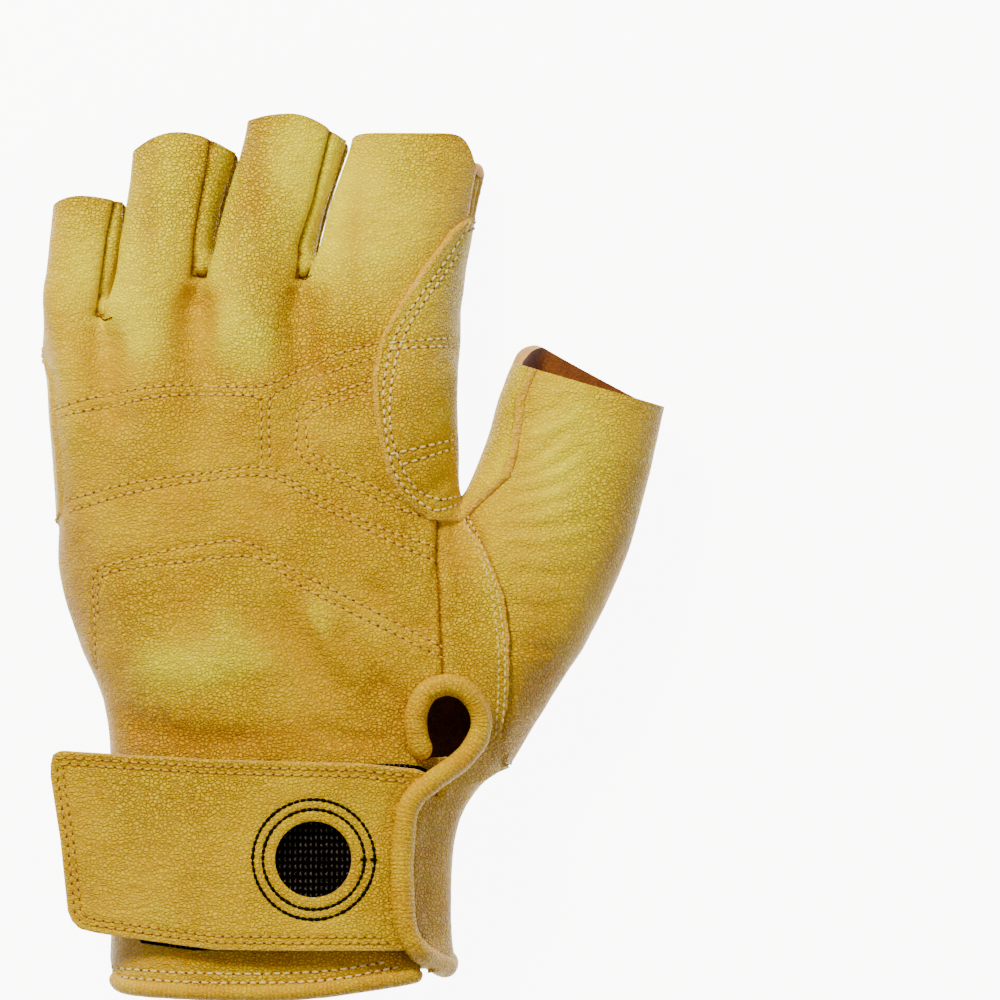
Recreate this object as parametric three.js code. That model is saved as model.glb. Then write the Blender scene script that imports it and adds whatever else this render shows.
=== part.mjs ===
import * as THREE from "three";

// Main sizes in millimetres: +Y to the fingertips, +X to the thumb, +Z up from the surface it lies on
const GLOVE_LENGTH = 221;
const KNUCKLE_WIDTH = 104.5;
const HAND_HEIGHT = 33;
const LEATHER = 1.3;
const OVERLAY = 1.2;
const FABRIC = 1.2;
const STRAP = 1.9;
const GAP = 0.3;
const BINDING_RADIUS = 2.9;
const HEM_RADIUS = 2.1;
const FOURCHETTE_EDGE = 3.4;
const HOLE_RADIUS = 9.5;

// How finely the forms are meshed
const ROWS = 18;
const LEVELS = 7;
const TUBE_SIDES = 8;
const STRAP_CELLS = [16, 5];
const FINE_EDGE = 3.3;
const PULLS = 4;
const PROBE = 0.4;
const EVENING = { rounds: 2, share: 0.4 };
const NEAREST_CUT = 0.12;
const HALVINGS = 24;
const ROLL_STEPS = 1.2;
const GRID_LOW = -0.06;
const GRID_HEIGHT = 1.24;

// How square the sections are, and how softly the forms join, in shares of the hand's height
const SQUARENESS = { body: 2.5, finger: 2.3, thumb: 2.2, core: 0.05 };
const SINK = { body: 0.1, finger: 0.02, thumb: 0.06 };
const JOIN = {
  web: 0.25,
  web_slope: 0.9,
  finger: 0.05,
  hand: 0.14,
  thumb: 0.2,
  floor: 0.08,
  thumb_end: 0.02,
};

// Shares of the main sizes turned into millimetres
const X = (share) => share * KNUCKLE_WIDTH;
const Y = (share) => share * GLOVE_LENGTH;
const Z = (share) => share * HAND_HEIGHT;
const FLOOR = GAP + OVERLAY;

// The hand without thumb and fingers: outline and top at stations along the glove
const HAND = [
  { at: -0.52, left: -0.59, right: 0.25, top: 1.0 },
  { at: -0.4, left: -0.575, right: 0.235, top: 0.95 },
  { at: -0.3, left: -0.578, right: 0.255, top: 0.92 },
  { at: -0.22, left: -0.575, right: 0.36, top: 0.94 },
  { at: -0.16, left: -0.594, right: 0.41, top: 0.96 },
  { at: -0.1, left: -0.647, right: 0.4, top: 0.99 },
  { at: -0.02, left: -0.696, right: 0.31, top: 1.0 },
  { at: 0.04, left: -0.7, right: 0.25, top: 1.0 },
  { at: 0.13, left: -0.712, right: 0.235, top: 0.96 },
  { at: 0.205, left: -0.72, right: 0.222, top: 0.85 },
  { at: 0.27, left: -0.722, right: 0.24, top: 0.66 },
  { at: 0.34, left: -0.71, right: 0.25, top: 0.5 },
];

// How far the hand's body reaches between the fingers
const WEB = [
  { at: -0.75, reach: 0.27 },
  { at: -0.585, reach: 0.272 },
  { at: -0.36, reach: 0.316 },
  { at: -0.1, reach: 0.315 },
  { at: 0.1, reach: 0.3 },
  { at: 0.27, reach: 0.26 },
];

// The finger tubes, with the rim's height at the left edge, the middle and the right edge
const FINGERS = [
  {
    name: "little",
    rim: { left: 0.396, middle: 0.408, right: 0.401, turn: 2 },
    rows: [
      { at: 0.05, left: -0.69, right: -0.57, top: 0.66 },
      { at: 0.14, left: -0.708, right: -0.57, top: 0.8 },
      { at: 0.27, left: -0.724, right: -0.588, top: 0.72 },
      { at: 0.32, left: -0.724, right: -0.56, top: 0.65 },
      { at: 0.41, left: -0.702, right: -0.543, top: 0.57 },
      { at: 0.47, left: -0.69, right: -0.54, top: 0.55 },
    ],
  },
  {
    name: "ring",
    rim: { left: 0.453, middle: 0.48, right: 0.457, turn: 2 },
    rows: [
      { at: 0.05, left: -0.58, right: -0.34, top: 0.75 },
      { at: 0.14, left: -0.58, right: -0.345, top: 0.96 },
      { at: 0.27, left: -0.565, right: -0.358, top: 0.86 },
      { at: 0.32, left: -0.539, right: -0.335, top: 0.77 },
      { at: 0.39, left: -0.528, right: -0.311, top: 0.66 },
      { at: 0.47, left: -0.517, right: -0.268, top: 0.58 },
      { at: 0.51, left: -0.51, right: -0.255, top: 0.57 },
    ],
  },
  {
    name: "middle",
    rim: { left: 0.491, middle: 0.501, right: 0.471, turn: 2 },
    rows: [
      { at: 0.05, left: -0.35, right: -0.12, top: 0.77 },
      { at: 0.14, left: -0.352, right: -0.12, top: 0.99 },
      { at: 0.27, left: -0.34, right: -0.116, top: 0.89 },
      { at: 0.32, left: -0.316, right: -0.097, top: 0.79 },
      { at: 0.39, left: -0.295, right: -0.062, top: 0.69 },
      { at: 0.47, left: -0.252, right: -0.012, top: 0.6 },
      { at: 0.53, left: -0.236, right: 0.008, top: 0.58 },
    ],
  },
  {
    name: "index",
    rim: { left: 0.468, middle: 0.479, right: 0.436, turn: 4 },
    rows: [
      { at: 0.05, left: -0.13, right: 0.215, top: 0.75 },
      { at: 0.14, left: -0.124, right: 0.222, top: 0.96 },
      { at: 0.25, left: -0.12, right: 0.243, top: 0.86 },
      { at: 0.32, left: -0.077, right: 0.262, top: 0.77 },
      { at: 0.39, left: -0.045, right: 0.283, top: 0.67 },
      { at: 0.46, left: -0.001, right: 0.31, top: 0.57 },
      { at: 0.51, left: 0.022, right: 0.324, top: 0.55 },
    ],
  },
];

// The thumb tube
const THUMB = [
  { at: -0.24, left: 0.1, right: 0.372, top: 0.55 },
  { at: -0.18, left: 0.1, right: 0.449, top: 0.7 },
  { at: -0.14, left: 0.12, right: 0.5, top: 0.78 },
  { at: -0.09, left: 0.16, right: 0.568, top: 0.84 },
  { at: 0.0, left: 0.22, right: 0.654, top: 0.86 },
  { at: 0.065, left: 0.278, right: 0.692, top: 0.84 },
  { at: 0.13, left: 0.335, right: 0.728, top: 0.81 },
  { at: 0.18, left: 0.365, right: 0.75, top: 0.79 },
  { at: 0.25, left: 0.42, right: 0.78, top: 0.78 },
];
const FINGER_MOUTH = { from: 0.22, level: 0.55, fade: 0.4, palm_shorter: 0.03 };
const THUMB_MOUTH = {
  lean: 0.29,
  rim: 0.261,
  palm_longer: 0.0125,
  palm_slant: 0.0185,
  level: 0.42,
  fade: 0.3,
};

// The fingers' lower parts stand further right, so that each side tucks under the next finger
const LEAN = { from: 0.2, to: 0.3, slope: 0.22, level: 0.3 };

// The lines between the fingers and beside the thumb, and the bounds of the form
const LANES = [
  { at: -0.52, out: -0.68, first: -0.46, second: -0.31, third: -0.1, crotch: 0.1, far: 0.34 },
  { at: -0.33, out: -0.66, first: -0.46, second: -0.3, third: -0.09, crotch: 0.14, far: 0.36 },
  { at: -0.22, out: -0.66, first: -0.46, second: -0.3, third: -0.08, crotch: 0.2, far: 0.47 },
  { at: -0.13, out: -0.71, first: -0.5, second: -0.32, third: -0.1, crotch: 0.24, far: 0.6 },
  { at: 0.0, out: -0.77, first: -0.54, second: -0.335, third: -0.115, crotch: 0.25, far: 0.74 },
  { at: 0.06, out: -0.785, first: -0.555, second: -0.345, third: -0.118, crotch: 0.262, far: 0.77 },
  { at: 0.14, out: -0.8, first: -0.575, second: -0.348, third: -0.12, crotch: 0.29, far: 0.81 },
  { at: 0.27, out: -0.815, first: -0.577, second: -0.349, third: -0.116, crotch: 0.345, far: 0.84 },
  { at: 0.32, out: -0.81, first: -0.55, second: -0.3255, third: -0.087, crotch: 0.36, far: 0.84 },
  { at: 0.39, out: -0.79, first: -0.536, second: -0.303, third: -0.0535, crotch: 0.37, far: 0.84 },
  { at: 0.47, out: -0.76, first: -0.523, second: -0.26, third: -0.003, crotch: 0.38, far: 0.84 },
  { at: 0.53, out: -0.75, first: -0.51, second: -0.245, third: 0.015, crotch: 0.4, far: 0.84 },
];
const LANE_CELLS = [
  { from: "out", to: "first", stops: [0, 0.27, 0.52, 0.79] },
  { from: "first", to: "second", stops: [0, 0.14, 0.38, 0.62, 0.86] },
  { from: "second", to: "third", stops: [0, 0.14, 0.38, 0.62, 0.86] },
  { from: "third", to: "crotch", stops: [0, 0.1, 0.32, 0.56, 0.82] },
  { from: "crotch", to: "far", stops: [0, 0.14, 0.42, 0.76, 1] },
];

// Seams: the fourchettes' upper seams, where each one's U ends and the height at which they turn under
const FOURCHETTE_TURN = 0.2;
const FOURCHETTES = [
  {
    name: "fourchette_little_ring",
    lane: "first",
    end: 0.272,
    rows: [
      { at: 0.26, seam: -0.615 },
      { at: 0.31, seam: -0.6 },
      { at: 0.36, seam: -0.588 },
      { at: 0.42, seam: -0.558 },
    ],
  },
  {
    name: "fourchette_ring_middle",
    lane: "second",
    end: 0.317,
    rows: [
      { at: 0.3, seam: -0.385 },
      { at: 0.36, seam: -0.376 },
      { at: 0.44, seam: -0.345 },
      { at: 0.48, seam: -0.336 },
    ],
  },
  {
    name: "fourchette_middle_index",
    lane: "third",
    end: 0.315,
    rows: [
      { at: 0.3, seam: -0.137 },
      { at: 0.35, seam: -0.125 },
      { at: 0.4, seam: -0.092 },
      { at: 0.49, seam: -0.046 },
    ],
  },
];

// Back to palm: the seam's height on the sides, and the seam line on the thumb side's top
const UPPER = 0.5;
const SIDE_SEAM = 0.4;
const FINGER_SEAM = { from: 0.24, height: 0.32 };
const FLAP_FROM = -0.27;
const BACK_EDGE = [
  { at: -0.26, x: 0.2 },
  { at: -0.22, x: 0.235 },
  { at: -0.16, x: 0.22 },
  { at: -0.1, x: 0.214 },
  { at: 0.0, x: 0.204 },
  { at: 0.06, x: 0.208 },
  { at: 0.11, x: 0.213 },
  { at: 0.15, x: 0.3 },
  { at: 0.2, x: 0.5 },
];

// The thumb's root seam on the top and underneath, and its own two seams
const THUMB_TURN = { low: 0.15, height: 0.6 };
const THUMB_SEAM = 0.45;
const THUMB_ROOT = [
  { at: -0.26, over: 0.7, under: 0.7 },
  { at: -0.235, over: 0.378, under: 0.33 },
  { at: -0.2, over: 0.367, under: 0.23 },
  { at: -0.145, over: 0.375, under: 0.15 },
  { at: -0.09, over: 0.376, under: 0.12 },
  { at: -0.045, over: 0.364, under: 0.12 },
  { at: 0.0, over: 0.326, under: 0.16 },
  { at: 0.035, over: 0.285, under: 0.21 },
  { at: 0.06, over: 0.262, under: 0.255 },
  { at: 0.14, over: 0.29, under: 0.29 },
  { at: 0.27, over: 0.345, under: 0.345 },
];
const THUMB_SPLIT = [
  { at: -0.26, x: 0.32 },
  { at: -0.1, x: 0.36 },
  { at: 0.06, x: 0.5 },
  { at: 0.25, x: 0.62 },
];

// The second layer: where its upper parts end, its raw edges on the index and the thumb, its lower edge
const UPPER_LAYER_END = 0.037;
const RAW_EDGE = [
  { at: 0.0362, x: 0.5 },
  { at: 0.0375, x: 0.23 },
  { at: 0.041, x: 0.18 },
  { at: 0.051, x: 0.15 },
  { at: 0.068, x: 0.113 },
  { at: 0.093, x: 0.083 },
  { at: 0.127, x: 0.066 },
  { at: 0.165, x: 0.053 },
  { at: 0.204, x: 0.047 },
  { at: 0.247, x: 0.068 },
  { at: 0.273, x: 0.097 },
  { at: 0.323, x: 0.163 },
  { at: 0.368, x: 0.233 },
  { at: 0.392, x: 0.293 },
  { at: 0.43, x: 0.3 },
];
const THUMB_STRIP = [
  { at: 0.03, x: 0.24 },
  { at: 0.06, x: 0.31 },
  { at: 0.09, x: 0.378 },
  { at: 0.115, x: 0.396 },
  { at: 0.15, x: 0.407 },
  { at: 0.177, x: 0.413 },
  { at: 0.21, x: 0.441 },
  { at: 0.25, x: 0.47 },
];
const LOWER_EDGE = [
  { at: -0.8, y: -0.04 },
  { at: -0.4, y: -0.063 },
  { at: 0.0, y: -0.055 },
  { at: 0.2, y: -0.02 },
  { at: 0.34, y: 0.045 },
  { at: 0.46, y: 0.12 },
  { at: 0.54, y: 0.2 },
  { at: 0.6, y: 0.3 },
];
const WRAP_HEIGHT = [
  { at: -0.1, z: 0.3 },
  { at: 0.03, z: 0.34 },
  { at: 0.05, z: 0.62 },
  { at: 0.2, z: 0.62 },
  { at: 0.25, z: 0.34 },
  { at: 0.3, z: 0.25 },
];

// The cuff's hem round the wrist, in turns from the thumb side over the top
const CUFF_HEM = [
  { at: 0.0, y: -0.462 },
  { at: 0.07, y: -0.466 },
  { at: 0.15, y: -0.478 },
  { at: 0.25, y: -0.492 },
  { at: 0.4, y: -0.487 },
  { at: 0.45, y: -0.48 },
  { at: 0.5, y: -0.458 },
  { at: 0.56, y: -0.436 },
  { at: 0.63, y: -0.432 },
  { at: 0.75, y: -0.462 },
  { at: 0.9, y: -0.455 },
  { at: 1.0, y: -0.462 },
];
const HEM_SPAN = {
  top_from: 0.115,
  top_to: 0.47,
  palm_from: 0.985,
  palm_to: 0.54,
  corner: 0.045,
  step: 0.022,
  inset: 0.5,
};

// The slit hole by the wrist, and the binding round it and down the flap, its rise in shares of its radius
const HOLE = { x: 0.232, y: -0.187, radius: 0.065, tip_x: 0.217, tip_y: -0.236, tip: 0.3 };
const FLAP_CORNER = { x: 0.19, y: -0.45, reach: 0.085 };
const HOLE_MARGIN = 0.07;
const FLAP = { from: -0.25, fade: 0.05, reach: 0.1, lift: 3, beside: -0.24 };
const BINDING_LOOP = 9;
const BINDING_FLAP = 7;
const BINDING = [
  { x: 0.178, y: -0.2268, rise: 0.41 },
  { x: 0.157, y: -0.2053, rise: 0.41 },
  { x: 0.154, y: -0.177, rise: 0.31 },
  { x: 0.176, y: -0.1544, rise: 0.31 },
  { x: 0.224, y: -0.1442, rise: 0.31 },
  { x: 0.274, y: -0.1521, rise: 0.31 },
  { x: 0.305, y: -0.1748, rise: 0.35 },
  { x: 0.303, y: -0.2019, rise: 0.7 },
  { x: 0.264, y: -0.2279, rise: 1.4 },
  { x: 0.197, y: -0.2517, rise: 1.9 },
  { x: 0.14, y: -0.2777, rise: 2 },
  { x: 0.123, y: -0.3241, rise: 2 },
  { x: 0.121, y: -0.3773, rise: 2 },
  { x: 0.133, y: -0.4225, rise: 1.9 },
  { x: 0.166, y: -0.4474, rise: 1.6 },
];

// The loop pad and the strap over the back cuff
const PAD = { left: -0.5, right: 0.135, low: -0.444, high: -0.2335 };
const STRAP_OUTLINE = [
  { x: -0.717, y: -0.2347 },
  { x: -0.712, y: -0.2234 },
  { x: -0.695, y: -0.2189 },
  { x: -0.578, y: -0.2223 },
  { x: -0.324, y: -0.2285 },
  { x: 0.02, y: -0.2325 },
  { x: 0.154, y: -0.2393 },
  { x: 0.2, y: -0.2483 },
  { x: 0.2, y: -0.444 },
  { x: -0.099, y: -0.444 },
  { x: -0.324, y: -0.4429 },
  { x: -0.472, y: -0.4338 },
  { x: -0.607, y: -0.4248 },
  { x: -0.647, y: -0.4202 },
  { x: -0.666, y: -0.4112 },
  { x: -0.676, y: -0.3999 },
  { x: -0.693, y: -0.3207 },
  { x: -0.717, y: -0.2483 },
];
const STRAP_FIELD = { left: -0.735, width: 0.95, low: -0.452, height: 0.242 };
const STRAP_HOLE = { x: -0.092, y: -0.341 };
const STRAP_LIFT = 2.6;
const STRAP_BEND = { from: -0.42, slope: 0.24 };

// The leather's colours
const GOLD = { color: 0xd6b220, roughness: 0.55, metalness: 0 };
const BLACK = { color: 0x18181a, roughness: 0.95, metalness: 0 };

// Smooth reading of one column of a table along its column "at"
function track(table, column, at) {
  const last = table.length - 1;
  if (at <= table[0].at) {
    return table[0][column];
  }
  if (at >= table[last].at) {
    return table[last][column];
  }
  let i = 0;
  while (at > table[i + 1].at) {
    i += 1;
  }
  const slope = (j) => {
    const a = table[Math.max(j - 1, 0)];
    const b = table[Math.min(j + 1, last)];
    return (b[column] - a[column]) / (b.at - a.at);
  };
  const span = table[i + 1].at - table[i].at;
  const t = (at - table[i].at) / span;
  const ease = t * t * (3 - 2 * t);
  const start = t * (1 - t) * (1 - t) * span * slope(i);
  const end = t * t * (t - 1) * span * slope(i + 1);
  return table[i][column] * (1 - ease) + table[i + 1][column] * ease + start + end;
}

// Straight reading of the same kind of table, for seams
function line(table, column, at) {
  const last = table.length - 1;
  if (at <= table[0].at) {
    return table[0][column];
  }
  for (let i = 0; i < last; i += 1) {
    const b = table[i + 1];
    if (at <= b.at) {
      const a = table[i];
      return a[column] + ((b[column] - a[column]) * (at - a.at)) / (b.at - a.at);
    }
  }
  return table[last][column];
}

// Smooth joins of two distances
function softMin(a, b, reach) {
  const h = Math.max(reach - Math.abs(a - b), 0) / reach;
  return Math.min(a, b) - (h * h * reach) / 4;
}
const softMax = (a, b, reach) => -softMin(-a, -b, reach);

const between = (value, low, high) => Math.min(Math.max(value, low), high);

// A place's distance across the hand once the fingers' lean is taken away, and back
function leanAt(y, z) {
  const share = between((y / GLOVE_LENGTH - LEAN.from) / (LEAN.to - LEAN.from), 0, 1);
  return LEAN.slope * share * (z - Z(LEAN.level));
}

// Distance from an upright rounded section, given in millimetres
function section(x, z, left, right, low, top, power) {
  const a = (right - left) / 2;
  const b = (top - low) / 2;
  const u = Math.abs(x - (left + right) / 2) / a;
  const w = Math.abs(z - (low + top) / 2) / b;
  const q = Math.pow(Math.pow(u, power) + Math.pow(w, power), 1 / power);
  if (q < SQUARENESS.core) {
    return -Math.min(a, b);
  }
  const gx = Math.pow(u / q, power - 1) / a;
  const gz = Math.pow(w / q, power - 1) / b;
  return (q - 1) / Math.hypot(gx, gz);
}

// A tube read from its table at one point
function tube(rows, x, y, z, sink, power) {
  const at = y / GLOVE_LENGTH;
  const left = X(track(rows, "left", at));
  const right = X(track(rows, "right", at));
  const top = Z(track(rows, "top", at));
  return section(x, z, left, right, FLOOR - sink, top, power);
}

// The outer surface of the first layer: negative inside the hand
function form(x, y, z) {
  const across = x + leanAt(y, z);
  const body = tube(HAND, across, y, z, Z(SINK.body), SQUARENESS.body);
  const reach = Y(track(WEB, "reach", across / KNUCKLE_WIDTH));
  let whole = softMax(body, (y - reach) * JOIN.web_slope, Z(JOIN.web));
  let fingers = HAND_HEIGHT * 2;
  for (const finger of FINGERS) {
    const sleeve = tube(finger.rows, across, y, z, Z(SINK.finger), SQUARENESS.finger);
    fingers = softMin(fingers, Math.max(sleeve, Y(finger.rows[0].at) - y), Z(JOIN.finger));
  }
  whole = softMin(whole, fingers, Z(JOIN.hand));
  const last = THUMB[THUMB.length - 1].at + JOIN.thumb_end;
  const ends = Math.max(Y(THUMB[0].at) - y, y - Y(last));
  const thumb = Math.max(tube(THUMB, x, y, z, Z(SINK.thumb), SQUARENESS.thumb), ends);
  whole = softMin(whole, thumb, Z(JOIN.thumb));
  return softMax(whole, FLOOR - z, Z(JOIN.floor));
}

// Its outward direction
function outward(p) {
  const h = PROBE;
  const [x, y, z] = p;
  const n = [
    form(x + h, y, z) - form(x - h, y, z),
    form(x, y + h, z) - form(x, y - h, z),
    form(x, y, z + h) - form(x, y, z - h),
  ];
  const size = Math.hypot(...n);
  return n.map((v) => v / size);
}

// Moves a point onto the surface
function settle(p) {
  let q = p;
  for (let step = 0; step < PULLS; step += 1) {
    const n = outward(q);
    const d = form(...q);
    q = q.map((v, i) => v - d * n[i]);
  }
  return q;
}

// The grid's stations: rows along the glove, columns that follow the lanes, levels upwards
const rowAt = (j) => Y(LANES[0].at + (j / ROWS) * (LANES[LANES.length - 1].at - LANES[0].at));
const levelAt = (k) => Z(GRID_LOW + (k / LEVELS) * GRID_HEIGHT);
function columnsAt(y) {
  const at = y / GLOVE_LENGTH;
  const all = [];
  for (const lane of LANE_CELLS) {
    const from = X(track(LANES, lane.from, at));
    const to = X(track(LANES, lane.to, at));
    for (const stop of lane.stops) {
      all.push(from + (to - from) * stop);
    }
  }
  return all;
}

// Meshes the surface: one vertex in each grid cell that it passes through, one quad at each crossed edge
function surface() {
  const nodes = [];
  const values = [];
  for (let j = 0; j <= ROWS; j += 1) {
    const y = rowAt(j);
    nodes.push(columnsAt(y).map((x) => [x, y]));
    values.push(
      nodes[j].map(([x]) => {
        const up = [];
        for (let k = 0; k <= LEVELS; k += 1) {
          up.push(form(x - leanAt(y, levelAt(k)), y, levelAt(k)));
        }
        return up;
      }),
    );
  }
  const columns = nodes[0].length;
  const at = (i, j, k) => {
    const [x, y] = nodes[j][i];
    return [x - leanAt(y, levelAt(k)), y, levelAt(k)];
  };
  const points = [];
  const cells = new Map();
  const key = (i, j, k) => (j * columns + i) * (LEVELS + 1) + k;
  for (let j = 0; j < ROWS; j += 1) {
    for (let i = 0; i + 1 < columns; i += 1) {
      for (let k = 0; k < LEVELS; k += 1) {
        const sum = [0, 0, 0];
        let count = 0;
        for (let a = 0; a < 8; a += 1) {
          for (const bit of [1, 2, 4]) {
            if (a & bit) {
              continue;
            }
            const c = [i + (a & 1), j + ((a >> 1) & 1), k + ((a >> 2) & 1)];
            const b = a | bit;
            const d = [i + (b & 1), j + ((b >> 1) & 1), k + ((b >> 2) & 1)];
            const v = values[c[1]][c[0]][c[2]];
            const w = values[d[1]][d[0]][d[2]];
            if (v < 0 !== w < 0) {
              const p = at(...c);
              const q = at(...d);
              sum.forEach((s, m) => {
                sum[m] = s + p[m] + ((q[m] - p[m]) * v) / (v - w);
              });
              count += 1;
            }
          }
        }
        if (count) {
          cells.set(key(i, j, k), points.length);
          points.push(sum.map((s) => s / count));
        }
      }
    }
  }
  const quads = [];
  const around = [
    { step: [1, 0, 0], a: [0, 1, 0], b: [0, 0, 1] },
    { step: [0, 1, 0], a: [0, 0, 1], b: [1, 0, 0] },
    { step: [0, 0, 1], a: [1, 0, 0], b: [0, 1, 0] },
  ];
  for (let j = 0; j <= ROWS; j += 1) {
    for (let i = 0; i < columns; i += 1) {
      for (let k = 0; k <= LEVELS; k += 1) {
        for (const { step, a, b } of around) {
          const to = [i + step[0], j + step[1], k + step[2]];
          if (to[0] >= columns || to[1] > ROWS || to[2] > LEVELS) {
            continue;
          }
          const inside = values[j][i][k] < 0;
          if (inside === values[to[1]][to[0]][to[2]] < 0) {
            continue;
          }
          const ring = [
            key(i, j, k),
            key(i - a[0], j - a[1], k - a[2]),
            key(i - a[0] - b[0], j - a[1] - b[1], k - a[2] - b[2]),
            key(i - b[0], j - b[1], k - b[2]),
          ].map((c) => cells.get(c));
          const low = [i - a[0] - b[0], j - a[1] - b[1], k - a[2] - b[2]];
          if (Math.min(...low) < 0 || ring.includes(undefined)) {
            continue;
          }
          quads.push(inside ? ring : ring.reverse());
        }
      }
    }
  }
  return relaxed(points, quads);
}

// Evens out the mesh along the surface and cuts its quads in two
function relaxed(start, quads) {
  let points = start.map(settle);
  const near = points.map(() => new Set());
  for (const q of quads) {
    q.forEach((v, i) => {
      near[v].add(q[(i + 1) % 4]);
      near[v].add(q[(i + 3) % 4]);
    });
  }
  for (let round = 0; round < EVENING.rounds; round += 1) {
    points = points.map((p, v) => {
      const ring = [...near[v]];
      if (ring.length < 4) {
        return p;
      }
      const n = outward(p);
      const mean = [0, 1, 2].map((m) => ring.reduce((s, r) => s + points[r][m], 0) / ring.length);
      const move = mean.map((c, m) => (c - p[m]) * EVENING.share);
      const off = move[0] * n[0] + move[1] * n[1] + move[2] * n[2];
      return settle(p.map((c, m) => c + move[m] - off * n[m]));
    });
  }
  const gap = (a, b) => Math.hypot(...points[a].map((c, m) => c - points[b][m]));
  const triangles = [];
  for (const [a, b, c, d] of quads) {
    if (gap(a, c) <= gap(b, d)) {
      triangles.push([a, b, c], [a, c, d]);
    } else {
      triangles.push([a, b, d], [b, c, d]);
    }
  }
  return { points, normals: points.map(outward), triangles };
}

// Cuts every triangle along the zero line of a measure
function split(mesh, measure) {
  const points = [...mesh.points];
  const normals = [...mesh.normals];
  const value = points.map((p) => measure(...p));
  const cuts = new Map();
  const cut = (a, b) => {
    const name = a < b ? `${a}_${b}` : `${b}_${a}`;
    if (!cuts.has(name)) {
      const [from, to] = a < b ? [a, b] : [b, a];
      const share = value[from] / (value[from] - value[to]);
      const t = between(share, NEAREST_CUT, 1 - NEAREST_CUT);
      cuts.set(name, points.length);
      points.push(points[from].map((c, m) => c + (points[to][m] - c) * t));
      normals.push(normals[from].map((c, m) => c + (normals[to][m] - c) * t));
    }
    return cuts.get(name);
  };
  const triangles = [];
  const side = [];
  for (const t of mesh.triangles) {
    const plus = t.filter((v) => value[v] > 0).length;
    if (plus === 0 || plus === 3) {
      triangles.push(t);
      side.push(plus === 3);
      continue;
    }
    const lone = t.findIndex((v) => value[v] > 0 === (plus === 1));
    const [a, b, c] = [t[lone], t[(lone + 1) % 3], t[(lone + 2) % 3]];
    const ab = cut(a, b);
    const ac = cut(a, c);
    triangles.push([a, ab, ac], [ab, b, c], [ab, c, ac]);
    side.push(plus === 1, plus !== 1, plus !== 1);
  }
  return {
    inside: { points, normals, triangles: triangles.filter((t, i) => side[i]) },
    outside: { points, normals, triangles: triangles.filter((t, i) => !side[i]) },
  };
}

// Halves the long edges in a region, so that a narrow cut can be followed there
function refined(mesh, region) {
  const points = [...mesh.points];
  const normals = [...mesh.normals];
  const halves = new Map();
  const half = (a, b) => {
    const name = a < b ? `${a}_${b}` : `${b}_${a}`;
    if (!halves.has(name)) {
      const mean = (list) => list[a].map((c, m) => (c + list[b][m]) / 2);
      const middle = mean(points);
      const size = Math.hypot(...points[a].map((c, m) => c - points[b][m]));
      halves.set(name, size > FINE_EDGE && region(...middle) < 0 ? points.length : -1);
      if (halves.get(name) >= 0) {
        points.push(middle);
        normals.push(mean(normals));
      }
    }
    return halves.get(name);
  };
  const triangles = [];
  for (const t of mesh.triangles) {
    const cuts = t.map((v, i) => half(v, t[(i + 1) % 3]));
    const count = cuts.filter((c) => c >= 0).length;
    const turn = count === 1 ? cuts.findIndex((c) => c >= 0) : (cuts.indexOf(-1) + 1) % 3;
    const [a, b, c] = [0, 1, 2].map((i) => t[(i + turn) % 3]);
    const [ab, bc, ca] = [0, 1, 2].map((i) => cuts[(i + turn) % 3]);
    if (count === 0) {
      triangles.push(t);
    } else if (count === 1) {
      triangles.push([a, ab, c], [ab, b, c]);
    } else if (count === 2) {
      triangles.push([ab, b, bc], [a, ab, c], [ab, bc, c]);
    } else {
      triangles.push([a, ab, ca], [ab, b, bc], [ca, bc, c], [ab, bc, ca]);
    }
  }
  return { points, normals, triangles };
}

// Where triangles meet only at a corner, each fan gets a corner of its own
function unpinched(mesh) {
  const points = [...mesh.points];
  const normals = [...mesh.normals];
  const triangles = mesh.triangles.map((t) => [...t]);
  const users = new Map();
  triangles.forEach((t, i) => t.forEach((v) => users.set(v, [...(users.get(v) ?? []), i])));
  for (const [v, list] of users) {
    const left = new Set(list);
    let fans = 0;
    while (left.size) {
      const fan = [left.values().next().value];
      left.delete(fan[0]);
      for (const i of fan) {
        const others = triangles[i].filter((w) => w !== v);
        for (const j of [...left]) {
          if (triangles[j].some((w) => others.includes(w))) {
            fan.push(j);
            left.delete(j);
          }
        }
      }
      if (fans > 0) {
        points.push(points[v]);
        normals.push(normals[v]);
        for (const i of fan) {
          triangles[i][triangles[i].indexOf(v)] = points.length - 1;
        }
      }
      fans += 1;
    }
  }
  return { points, normals, triangles };
}

// The open edges of a mesh, each in its triangle's direction
function openEdges(mesh) {
  const seen = new Map();
  mesh.triangles.forEach((t) => t.forEach((v, i) => seen.set(`${v}_${t[(i + 1) % 3]}`, t)));
  const edges = [];
  for (const [name, triangle] of seen) {
    const [a, b] = name.split("_").map(Number);
    if (!seen.has(`${b}_${a}`)) {
      edges.push({ a, b, triangle });
    }
  }
  return edges;
}

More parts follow.
